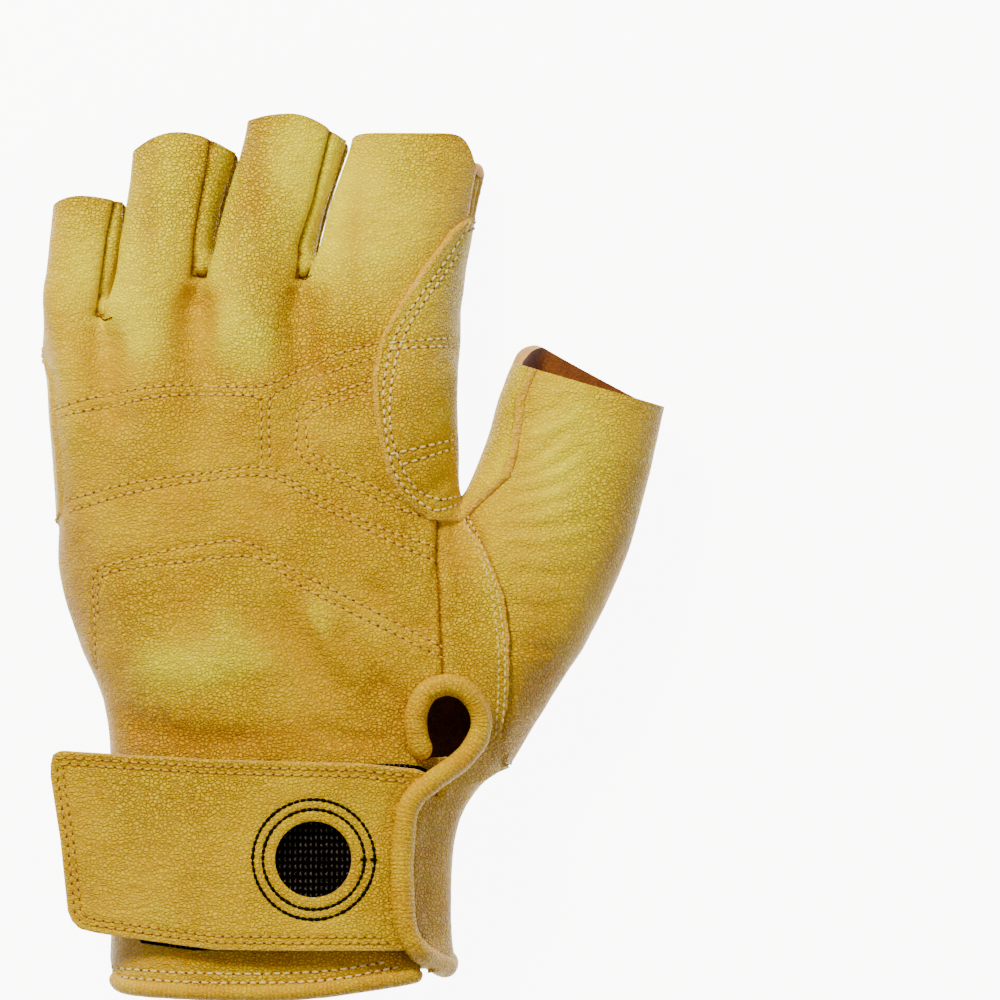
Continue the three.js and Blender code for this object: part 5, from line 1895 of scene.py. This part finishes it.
class Stitches(Tree):
    """Sews rows with a node tree that lays one small solid at each step of a line."""

    def __init__(self) -> None:
        """Builds the tree."""
        super().__init__(bpy.data.node_groups.new("sewn_row", "GeometryNodeTree"))
        face = self.tree.interface
        kinds = {"Geometry": "Geometry", "Seed": "Int", "Material": "Material"}
        for name in ("Geometry", "Pitch", "Length", "Width", "Height", "Shift", "Rise", "Seed", "Material"):
            face.new_socket(name, in_out="INPUT", socket_type="NodeSocket" + kinds.get(name, "Float"))
        face.new_socket("Geometry", in_out="OUTPUT", socket_type="NodeSocketGeometry")
        self.grow()

    def grow(self) -> None:
        """Adds the tree's nodes."""
        given = self.tree.nodes.new("NodeGroupInput").outputs
        line = self.node("GeometryNodeMeshToCurve", s0=given["Geometry"])
        steps = self.node("GeometryNodeCurveToPoints", {"mode": "LENGTH"}, s0=line.outputs[0])
        self.tree.links.new(given["Pitch"], steps.inputs["Length"])
        up = self.first("GeometryNodeInputNamedAttribute", {"data_type": "FLOAT_VECTOR"}, Name="up")
        turned = "FunctionNodeAlignRotationToVector"
        along = self.first(turned, {"axis": "X"}, Vector=steps.outputs["Tangent"])
        stood = self.first(turned, {"axis": "Z", "pivot_axis": "X"}, Rotation=along, Vector=up)
        seeded = self.node("FunctionNodeRandomValue", {"data_type": "FLOAT"}, Seed=given["Seed"])
        seeded.inputs[2].default_value, seeded.inputs[3].default_value = STITCH_SCALES
        bead = self.first("GeometryNodeMeshUVSphere", Segments=7, Rings=5, Radius=0.5)
        size = self.first("ShaderNodeCombineXYZ", s0=given["Length"], s1=given["Width"], s2=given["Height"])
        move = self.first("ShaderNodeCombineXYZ", s0=given["Shift"], s1=0.0, s2=given["Rise"])
        shaped = self.first("GeometryNodeTransform", Geometry=bead, Scale=size, Translation=move)
        places = {"Points": steps.outputs["Points"], "Rotation": stood, "Scale": seeded.outputs[1]}
        laid = self.first("GeometryNodeInstanceOnPoints", Instance=shaped, **places)
        real = self.first("GeometryNodeRealizeInstances", s0=laid)
        smooth = self.first("GeometryNodeSetShadeSmooth", s0=real)
        dressed = self.first("GeometryNodeSetMaterial", Geometry=smooth, Material=given["Material"])
        self.tree.links.new(dressed, self.tree.nodes.new("NodeGroupOutput").inputs[0])

    def sewn(self, name: str, lines: list["Line"], finish: Finish, sizes: Sizes) -> bpy.types.Object:
        """Lays one small solid at each step of some lines.

        Args:
            name: the piece's name.
            lines: the rows.
            finish: the solids' finish.
            sizes: the tree's inputs, in millimetres.

        Returns:
            The finished object.
        """
        starts = np.cumsum([0] + [len(line.points) for line in lines[:-1]])
        points = np.vstack([line.points for line in lines]) - np.array([MIDDLE_X, MIDDLE_Y, 0.0])
        edges = np.vstack([line.edges + start for line, start in zip(lines, starts)])
        mesh = bpy.data.meshes.new(name + "_line")
        mesh.from_pydata((points * MILLI).tolist(), edges.tolist(), [])
        up = mesh.attributes.new("up", "FLOAT_VECTOR", "POINT")
        up.data.foreach_set("vector", np.vstack([line.normals for line in lines]).astype(np.float32).ravel())
        guide = added(name + "_line", mesh)
        rows = guide.modifiers.new("sewn_row", "NODES")
        rows.node_group = self.tree
        inputs = [item for item in self.tree.interface.items_tree if item.in_out == "INPUT"]
        key = {item.name: item.identifier for item in inputs}
        for label, value in sizes.items():
            rows[key[label]] = value * MILLI
        rows[key["Seed"]] = STITCH_SEED
        rows[key["Material"]] = finish.material()
        graph = bpy.context.evaluated_depsgraph_get()
        plain = bpy.data.meshes.new_from_object(guide.evaluated_get(graph), depsgraph=graph)
        bpy.data.objects.remove(guide)
        if not plain.materials:
            plain.materials.append(finish.material())
        plain.name = name
        return added(name, plain)


@dataclass
class Line:
    """A sewn row: its points, their outward directions and its edges."""

    points: Points
    normals: Points
    edges: Points


class Layer(Enum):
    """What a row is sewn on, by its height above the first layer."""

    FIRST = 0.0
    SECOND = 1.25


class Sheet(Enum):
    """Which sheet of leather is dented: the hand's, the thumb's or the second layer."""

    HAND = "hand"
    THUMB = "thumb"
    SECOND = "second"


@dataclass
class HandShell:
    """The sewn leather shell with its second layer, strips and stitching."""

    relief: Relief
    stitches: Stitches
    binding: Points
    hem: Points
    whole: Surface = field(init=False)

    def base(self) -> Surface:
        """Meshes and trims the first layer's surface."""
        s = Surface.hand()
        for measure in (finger_mouth, thumb_mouth, cuff_end):
            s = s.keep(measure)
        near = nearness(s.points, np.vstack([self.relief.rows, self.relief.top_rows])) < TRIMS.fine
        upper = s.points[:, 2] > share_z(UPPER)
        near |= np.abs(second_layer(s.points) - TRIMS.fine_edge) < TRIMS.fine
        near |= upper & (np.abs(thumb_side(s.points)) < TRIMS.fine_root)
        s = s.refined(near)
        x, y = share_x(BINDING.data["x"][:HOLE_ROWS]), share_y(BINDING.data["y"][:HOLE_ROWS])
        hole = np.column_stack([x, y])
        off = nearness(s.points, self.binding) - BINDING_RADIUS * TRIMS.binding
        off = np.minimum(off, nearness(s.points, self.hem) - HEM_RADIUS * TRIMS.hem)
        above = s.points[:, 2] > share_z(TRIMS.hole_above)
        off = np.where(above, np.minimum(off, -outline_place(hole, s.points)), off)
        return s.split(off)[0]

    def flap_lift(self, p: Points) -> Points:
        """Lifts the flap beside its binding."""
        down = np.clip((share_y(FLAP_LIFT.start) - p[:, 1]) / share_y(FLAP_LIFT.over), 0, 1)
        near = np.clip(1 - (p[:, 0] - flap_line(p[:, 1])) / share_x(FLAP_LIFT.wide), 0, 1)
        return np.where(p[:, 2] > share_z(UPPER), down * near * near * FLAP_LIFT.height, 0)

    def panel(self, name: str, surface: Surface, kind: Sheet, lift: bool = False) -> bpy.types.Object:
        """Makes one panel.

        Args:
            name: the piece's name.
            surface: its sheet.
            kind: which sheet of leather it is cut from.
            lift: whether it takes the flap's lift.

        Returns:
            The finished object.
        """
        height, marks = self.relief.read(surface.points, surface.normals, kind)
        if lift:
            height = height + self.flap_lift(surface.points)
        low, high = (LIFT, LIFT + OVERLAY) if kind is Sheet.SECOND else (-LEATHER, 0.0)
        return Wall(surface, low, high, height).piece(name, LEATHER_SIDES, marks)

    def make(self) -> dict[str, bpy.types.Object]:
        """Builds the panels, the strips and the second layer.

        Returns:
            The objects by the name of the solid that each replaces.
        """
        base = self.base()
        self.whole = base
        thumb, rest = base.split(thumb_side(base.points))
        over, front = thumb.split(thumb_over(thumb.points))
        made = {}
        for strip in FOURCHETTES:
            part, rest = rest.split(between(rest.points, strip))
            made[strip.name] = self.panel(strip.name, part, Sheet.HAND)
        back, palm = rest.split(back_side(rest.points))
        p = palm.points
        flap = (p[:, 1] < share_y(TRIMS.flap_from)) & (p[:, 2] > share_z(UPPER))
        past = p[:, 0] - flap_line(p[:, 1]) - BINDING_RADIUS * TRIMS.flap
        palm = palm.split(np.where(flap, past, HAND_HEIGHT))[0]
        for name, part, kind in (
            ("back_panel", back, Sheet.HAND),
            ("palm_panel", palm, Sheet.HAND),
            ("thumb_back", over, Sheet.THUMB),
            ("thumb_front", front, Sheet.THUMB),
            ("palm_overlay", base.keep(second_layer), Sheet.SECOND),
        ):
            made[name] = self.panel(name, part, kind, name == "palm_panel")
        return made

    def drawn_rows(self, rows: list, layer: Layer) -> list[Line]:
        """Lays drawn rows on the upper side.

        Args:
            rows: the rows' pixels.
            layer: what they are sewn on.

        Returns:
            The rows as lines.
        """
        lines = []
        for row in rows:
            p = HAND_FORM.level(curve(photo(*row)))
            n = HAND_FORM.outward(p)
            steps = np.arange(len(p) - 1)
            sound = (np.abs(HAND_FORM.at(p)) < SOUND.off) & (n[:, 2] > SOUND.upright)
            sound &= thumb_mouth(p) > SOUND.back
            edges = np.stack([steps, steps + 1], 1)[sound[:-1] & sound[1:]]
            lines.append(self.laid(p, n, edges, layer))
        return lines

    def laid(self, p: Points, n: Points, edges: Points, layer: Layer) -> Line:
        """Lays a row on the dented leather.

        Args:
            p: its points on the hand's surface.
            n: their outward directions.
            edges: which points it joins.
            layer: what it is sewn on.

        Returns:
            The row as a line.
        """
        kind = Sheet.SECOND if layer is Layer.SECOND else Sheet.HAND
        height, _ = self.relief.read(p, n, kind)
        return Line(p + n * (height + layer.value)[:, None], n, edges)

    def edge_rows(self, measure: Measure, inside: float, layer: Layer, keep: Measure | None = None) -> Line:
        """Lays a row beside a seam or an edge.

        Args:
            measure: the edge's own distance.
            inside: how far from the edge the row lies.
            layer: what it is sewn on.
            keep: where the row is wanted, above zero.

        Returns:
            The row as a line.
        """
        base = self.whole.keep(keep) if keep else self.whole
        return self.laid(*base.contour(measure(base.points) - inside), layer)

    def sew(self) -> list[bpy.types.Object]:
        """Sews the shell's rows."""
        sewn = self.stitches.sewn
        tan = self.drawn_rows(BACK_ROWS, Layer.FIRST)
        cream = self.drawn_rows(LAYER_ROWS, Layer.SECOND) + self.drawn_rows(HEM_ROWS, Layer.FIRST)
        cream += [self.edge_rows(second_layer, d, Layer.SECOND, underneath) for d in (1.8, 3.3)]
        thumb, dark, pale = (self.drawn_rows(rows, Layer.FIRST) for rows in (THUMB_ROWS, NUB_ROWS, TACK_ROWS))
        return [
            sewn("back_stitches", tan, Thread("tan_thread", (238, 202, 98), (190, 132, 26)), SEAM),
            sewn("layer_stitches", cream, Thread(), SEAM),
            sewn("thumb_stitches", thumb, Thread(), FINE),
            sewn("bar_tacks", pale, Thread(), TACK),
            sewn("end_stitches", dark, Thread("brown_thread", (120, 62, 6), (70, 30, 0)), TACK),
            sewn("needle_marks", tan + cream, NeedleMark(), MARK),
        ]


def underneath(p: Points) -> Points:
    """Measures how far a place lies under the glove and back from the mouths."""
    mouths = np.minimum(finger_mouth(p), thumb_mouth(p))
    return np.minimum(share_z(SEAMS.thumb_from) - p[:, 2], mouths - SOUND.back_under)


def swept(path: Points, radius: Points, sides: int) -> tuple[Points, Points]:
    """Runs a round section along a path, with rounded ends.

    Args:
        path: the middle line.
        radius: the radius for each step and side.
        sides: the number of sides.

    Returns:
        The points and the triangles.
    """
    run = unit(np.gradient(path, axis=0))
    side = np.cross(run[0], [0.0, 0.0, 1.0])
    rings, angles = [], np.arange(sides) * 2 * np.pi / sides
    for p, t, r in zip(path, run, radius):
        side = unit(side - t * (side @ t))
        up = np.cross(side, t)
        rings.append(p + r[:, None] * (np.cos(angles)[:, None] * side + np.sin(angles)[:, None] * up))
    tips = [path[end] + sign * run[end] * radius[end].mean() * TIP_SHARE for end, sign in ((0, -1), (-1, 1))]
    points = np.vstack([*rings, *tips])
    steps, ring = np.arange(len(path) - 1)[:, None] * sides, np.arange(sides)
    after = (ring + 1) % sides
    a, b, c, d = steps + ring, steps + after, steps + sides + after, steps + sides + ring
    triangles = np.vstack([np.stack([a, b, c], 2).reshape(-1, 3), np.stack([a, c, d], 2).reshape(-1, 3)])
    last = (len(path) - 1) * sides
    caps = [np.stack([np.full(sides, last + sides), after, ring], 1)]
    caps.append(np.stack([np.full(sides, last + sides + 1), last + ring, last + after], 1))
    return points, np.vstack([triangles, *caps])


@dataclass
class Cuff:
    """The gathered binding round the hole and down the flap, and the back's hem."""

    stitches: Stitches
    binding: Points
    hem: Points
    sides: int = 26
    step: float = 0.7
    guides: int = 60
    around: float = 4.0
    gather_wave: float = 2.3
    broad_wave: float = 6.0

    def rolled(self, name: str, path: Points, radius: float, gather: float, seed: int) -> bpy.types.Object:
        """Makes a rolled leather edge.

        Args:
            name: the piece's name.
            path: its middle line.
            radius: its radius.
            gather: the depth of its gathers as a share of the radius.
            seed: the noise's seed.

        Returns:
            The finished object.
        """
        path = curve(path[:: max(len(path) // self.guides, 1)], self.step)
        run = np.arange(len(path)) * self.step
        angle = np.arange(self.sides) * 2 * np.pi / self.sides
        noise = Noise(seed)
        ring = self.around * np.cos(angle), self.around * np.sin(angle)
        grid = np.stack(np.broadcast_arrays(run[:, None], *ring), axis=-1)
        waves = noise.read(grid * np.array([1.0, 0.35, 0.35]), self.gather_wave)
        broad = noise.read(grid * 0.6 + 30, self.broad_wave)
        flat = radius * (1 + gather * waves + gather * 0.8 * broad - gather)
        ends = np.clip(np.minimum(run, run[::-1]) / radius, 0.05, 1)
        flat *= np.sqrt(1 - (1 - ends) ** 2)[:, None]
        points, triangles = swept(path, flat, self.sides)
        points[:, 2] = np.maximum(points[:, 2], 0.02)
        # A little painted shade and an even paler tone along the whole roll, and a deeper tone where it runs
        # thinner
        low = np.full(len(points), 0.1)
        marks = {
            "shade_and_seam_lines": low,
            "run": np.concatenate([np.repeat(run, self.sides), run[:1], run[-1:]]),
            "highlight_and_pale_tone": low,
            "shade_and_deep_tone": np.concatenate([np.clip(-broad, 0, 1).ravel() * 0.5, [0.0, 0.0]]),
        }
        roll = GoatLeather("rolled_leather", gathers=1.1)
        return build(name, points, outwards(points, triangles), [roll], marks=marks, sharp=80)

    def make(self) -> dict[str, bpy.types.Object]:
        """Builds both rolls."""
        return {
            "cuff_binding": self.rolled("cuff_binding", self.binding, BINDING_RADIUS, 0.05, 21),
            "back_hem": self.rolled("back_hem", self.hem, HEM_RADIUS, 0.04, 22),
        }


def outwards(points: Points, triangles: Points) -> Points:
    """Turns a closed mesh's triangles to face out."""
    a, b, c = (points[triangles[:, k]] for k in range(3))
    volume = np.einsum("ij,ij->", a, np.cross(b, c))
    return triangles if volume > 0 else triangles[:, ::-1]


@dataclass
class Closure:
    """The strap over the cuff with its round hole, and the loop pad beneath."""

    stitches: Stitches
    shell: HandShell
    circles: tuple[float, float] = (12.5, 15.0)
    across: tuple[float, float] = (-0.735, 0.22)
    along: tuple[float, float] = (-0.455, -0.214)
    strap: Surface = field(init=False)

    def height(self, x: Points, y: Points) -> Points:
        """Finds the strap's underside."""
        bend = share_x(STRAP_BEND.start)
        over = HAND_FORM.level(np.column_stack([np.maximum(x, bend), y]))[:, 2] + STRAP_LIFT
        return over - np.maximum(bend - x, 0) * STRAP_BEND.slope

    def place(self, p: Points) -> Points:
        """Measures how far a place lies inside the strap's edge."""
        x, y = share_x(BINDING.data["x"][FLAP_ROW:]), share_y(BINDING.data["y"][FLAP_ROW:])
        line = curve(np.column_stack([x, y, 0 * x]), STEP / 2)
        far = nearness(p * np.array([1.0, 1.0, 0.0]), line)
        clear = np.where(p[:, 0] < flap_line(p[:, 1]), far, -far) - BINDING_RADIUS * TRIMS.strap
        return np.minimum(outline_place(strap_corners(), p), clear)

    def middle(self) -> Points:
        """Finds the middle of the round hole."""
        return np.array([share_x(STRAP_HOLE.x), share_y(STRAP_HOLE.y)])

    def from_hole(self, p: Points) -> Points:
        """Measures the distance to the round hole's edge."""
        return np.linalg.norm(p[:, :2] - self.middle(), axis=1) - HOLE_RADIUS

    def sheet(self) -> Surface:
        """Meshes the strap's underside."""
        step = max(CELL * 0.8, 0.7)
        x = np.arange(share_x(self.across[0]), share_x(self.across[1]), step)
        y = np.arange(share_y(self.along[0]), share_y(self.along[1]), step)
        gx, gy = (g.ravel() for g in np.meshgrid(x, y))
        z = self.height(gx, gy)
        slope = (self.height(gx + 1, gy) - self.height(gx - 1, gy)) / 2
        along = (self.height(gx, gy + 1) - self.height(gx, gy - 1)) / 2
        normals = unit(np.column_stack([-slope, -along, np.ones_like(z)]))
        i, j = np.meshgrid(np.arange(len(x) - 1), np.arange(len(y) - 1))
        a = (j * len(x) + i).ravel()
        b = a + len(x)
        triangles = np.vstack([np.stack([a, a + 1, b], 1), np.stack([a + 1, b + 1, b], 1)])
        s = Surface(np.column_stack([gx, gy, z]), normals, triangles)
        s = s.keep(self.place)
        near = (np.abs(self.place(s.points) - 2.6) < 2.8) | (self.from_hole(s.points) < 6.5)
        return (s.refined(near)).keep(self.from_hole)

    def waves(self, p: Points) -> tuple[Points, dict[str, Points]]:
        """Works out the strap's height changes and marks."""
        noise = Noise(31)
        edge, hole = self.place(p), self.from_hole(p)
        flat = np.column_stack([p[:, 0], p[:, 1], 0 * p[:, 0]])
        uneven = noise.waves(flat, STRAP_UNEVEN)
        rows = sum(bell(edge, 0.7, d) for d in STRAP_ROWS)
        rows += sum(bell(hole, 0.6, radius - HOLE_RADIUS) for radius in self.circles)
        rim = np.exp(-np.maximum(np.minimum(edge, hole), 0) / 0.5)
        # Painted shade along the sewn rows, at the edge and round the hole, painted shade spots, a pale raw
        # edge, and an even paler tone
        marks = {
            "shade_and_seam_lines": np.clip(0.35 * rows + 0.25 * rim, 0, 1),
            "raw": np.clip(1.3 - edge / 0.7, 0, 1) * 0.9,
            "shade_and_deep_tone": ovals(SHADE_SPOTS, p) * 0.8,
            "highlight_and_pale_tone": np.full(len(p), 0.25),
        }
        return uneven - 0.3 * rows - 0.35 * rim, marks

    def make(self) -> dict[str, bpy.types.Object]:
        """Builds the strap and the pad."""
        self.strap = self.sheet()
        height, marks = self.waves(self.strap.points)
        sides = [GoatLeather(), GoatLeather(), RawEdge()]
        strap = Wall(self.strap, 0.0, STRAP, height).piece("wrist_strap", sides, marks)
        pad = self.shell.whole.keep(pad_place)
        fuzz = Noise(41).waves(pad.points, PAD_UNEVEN)
        cloth = [LoopFabric()] * 3
        loops = Wall(pad, PAD_LIFT, PAD_LIFT + FABRIC, fuzz).piece("loop_pad", cloth, {})
        return {"wrist_strap": strap, "loop_pad": loops}

    def row(self, value: Callable[[Points], Points], level: float) -> Line:
        """Lays a row on the strap along a measure's level."""
        p, n, edges = self.strap.contour(value(self.strap.points) - level)
        height, _ = self.waves(p)
        return Line(p + n * (height + STRAP)[:, None], n, edges)

    def sew(self) -> list[bpy.types.Object]:
        """Sews the strap's edge and the circles round its hole."""
        edge = []
        for d in STRAP_ROWS:
            line = self.row(self.place, d)
            middles = line.points[line.edges].mean(1)
            keep = middles[:, 0] < flap_line(middles[:, 1]) - ROW_STOP
            edge.append(Line(line.points, line.normals, line.edges[keep]))
        rings = [self.row(self.from_hole, radius - HOLE_RADIUS) for radius in self.circles]
        link = np.array([[radius, 0.0] for radius in self.circles]) + self.middle()
        top = np.column_stack([link, self.height(link[:, 0], link[:, 1]) + STRAP])
        rings.append(Line(top, np.tile([0.0, 0.0, 1.0], (2, 1)), np.array([[0, 1]])))
        sewn = self.stitches.sewn
        return [
            sewn("strap_stitches", edge, Thread("strap_thread", (226, 184, 70), (176, 122, 20)), SEAM),
            sewn("hole_stitches", rings, Thread("black_thread", (10, 8, 6), (2, 2, 2)), RING),
            sewn("strap_needle_marks", edge, NeedleMark(), MARK),
        ]


@dataclass
class Studio:
    """The floor, the soft lights and the camera."""

    distance: float = 4.0
    picture: float = 1000.0
    sensor: float = 36.0
    floor_size: float = 1600.0
    lamp_tint: tuple[float, float, float] = (1.0, 0.96, 0.66)
    air_tint: tuple[float, float, float, float] = (1.0, 0.97, 0.74, 1.0)
    air_strength: float = 0.34

    def floor(self) -> None:
        """Lays a pale floor."""
        corners = np.array([[-1, -1, 0], [1, -1, 0], [1, 1, 0], [-1, 1, 0]]) * self.floor_size / 2
        made = build("studio_floor", corners, np.array([[0, 1, 2, 3]]), [PaleFloor()])
        made.visible_diffuse = False

    def light(self, name: str, place: tuple[float, float, float], size: float, power: float) -> None:
        """Hangs a square soft light that faces the glove."""
        lamp = bpy.data.lights.new(name, "AREA")
        lamp.size = size
        lamp.energy = power
        lamp.color = self.lamp_tint
        made = added(name, lamp)
        made.location = place
        made.rotation_euler = (-Vector(place)).to_track_quat("-Z", "Y").to_euler()

    def make(self) -> None:
        """Sets the whole studio."""
        self.floor()
        self.light("soft_key", (-0.45, 0.85, 0.8), 0.3, 24.0)
        self.light("soft_fill", (0.8, -0.2, 0.9), 0.8, 3.0)
        world = bpy.data.worlds.new("studio_air")
        world.use_nodes = True
        air = world.node_tree.nodes["Background"].inputs
        air["Color"].default_value = self.air_tint
        air["Strength"].default_value = self.air_strength
        bpy.context.scene.world = world
        lens = bpy.data.cameras.new("camera")
        lens.sensor_width = self.sensor
        lens.lens = self.sensor * self.distance / (self.picture * PHOTO_SCALE * MILLI)
        camera = added("camera", lens)
        x, y = photo((self.picture / 2, self.picture / 2))[0] - np.array([MIDDLE_X, MIDDLE_Y])
        camera.location = (x * MILLI, y * MILLI, self.distance + HAND_HEIGHT / 2 * MILLI)
        bpy.context.scene.camera = camera


def note(made: bpy.types.Object) -> None:
    """Logs a finished piece."""
    log.info("%s: %d faces", made.name, len(made.data.polygons))


def main() -> None:
    """Builds the dressed glove piece by piece."""
    logging.basicConfig(level=logging.INFO, format="%(message)s")
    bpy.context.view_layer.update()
    binding, hem = binding_path(), curve(hem_path(HEM_SPAN.top_from, HEM_SPAN.top_to, HEM_RADIUS), 0.5)
    stitches = Stitches()
    shell = HandShell(Relief(), stitches, binding, hem)
    cuff = Cuff(stitches, binding, hem)
    closure = Closure(stitches, shell)
    for part in (shell, cuff, closure):
        for node, made in part.make().items():
            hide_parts(node)
            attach(made, "root")
            note(made)
    for part in (shell, closure):
        for made in part.sew():
            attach(made, "root")
            note(made)
    Studio().make()


if __name__ == "__main__":
    main()
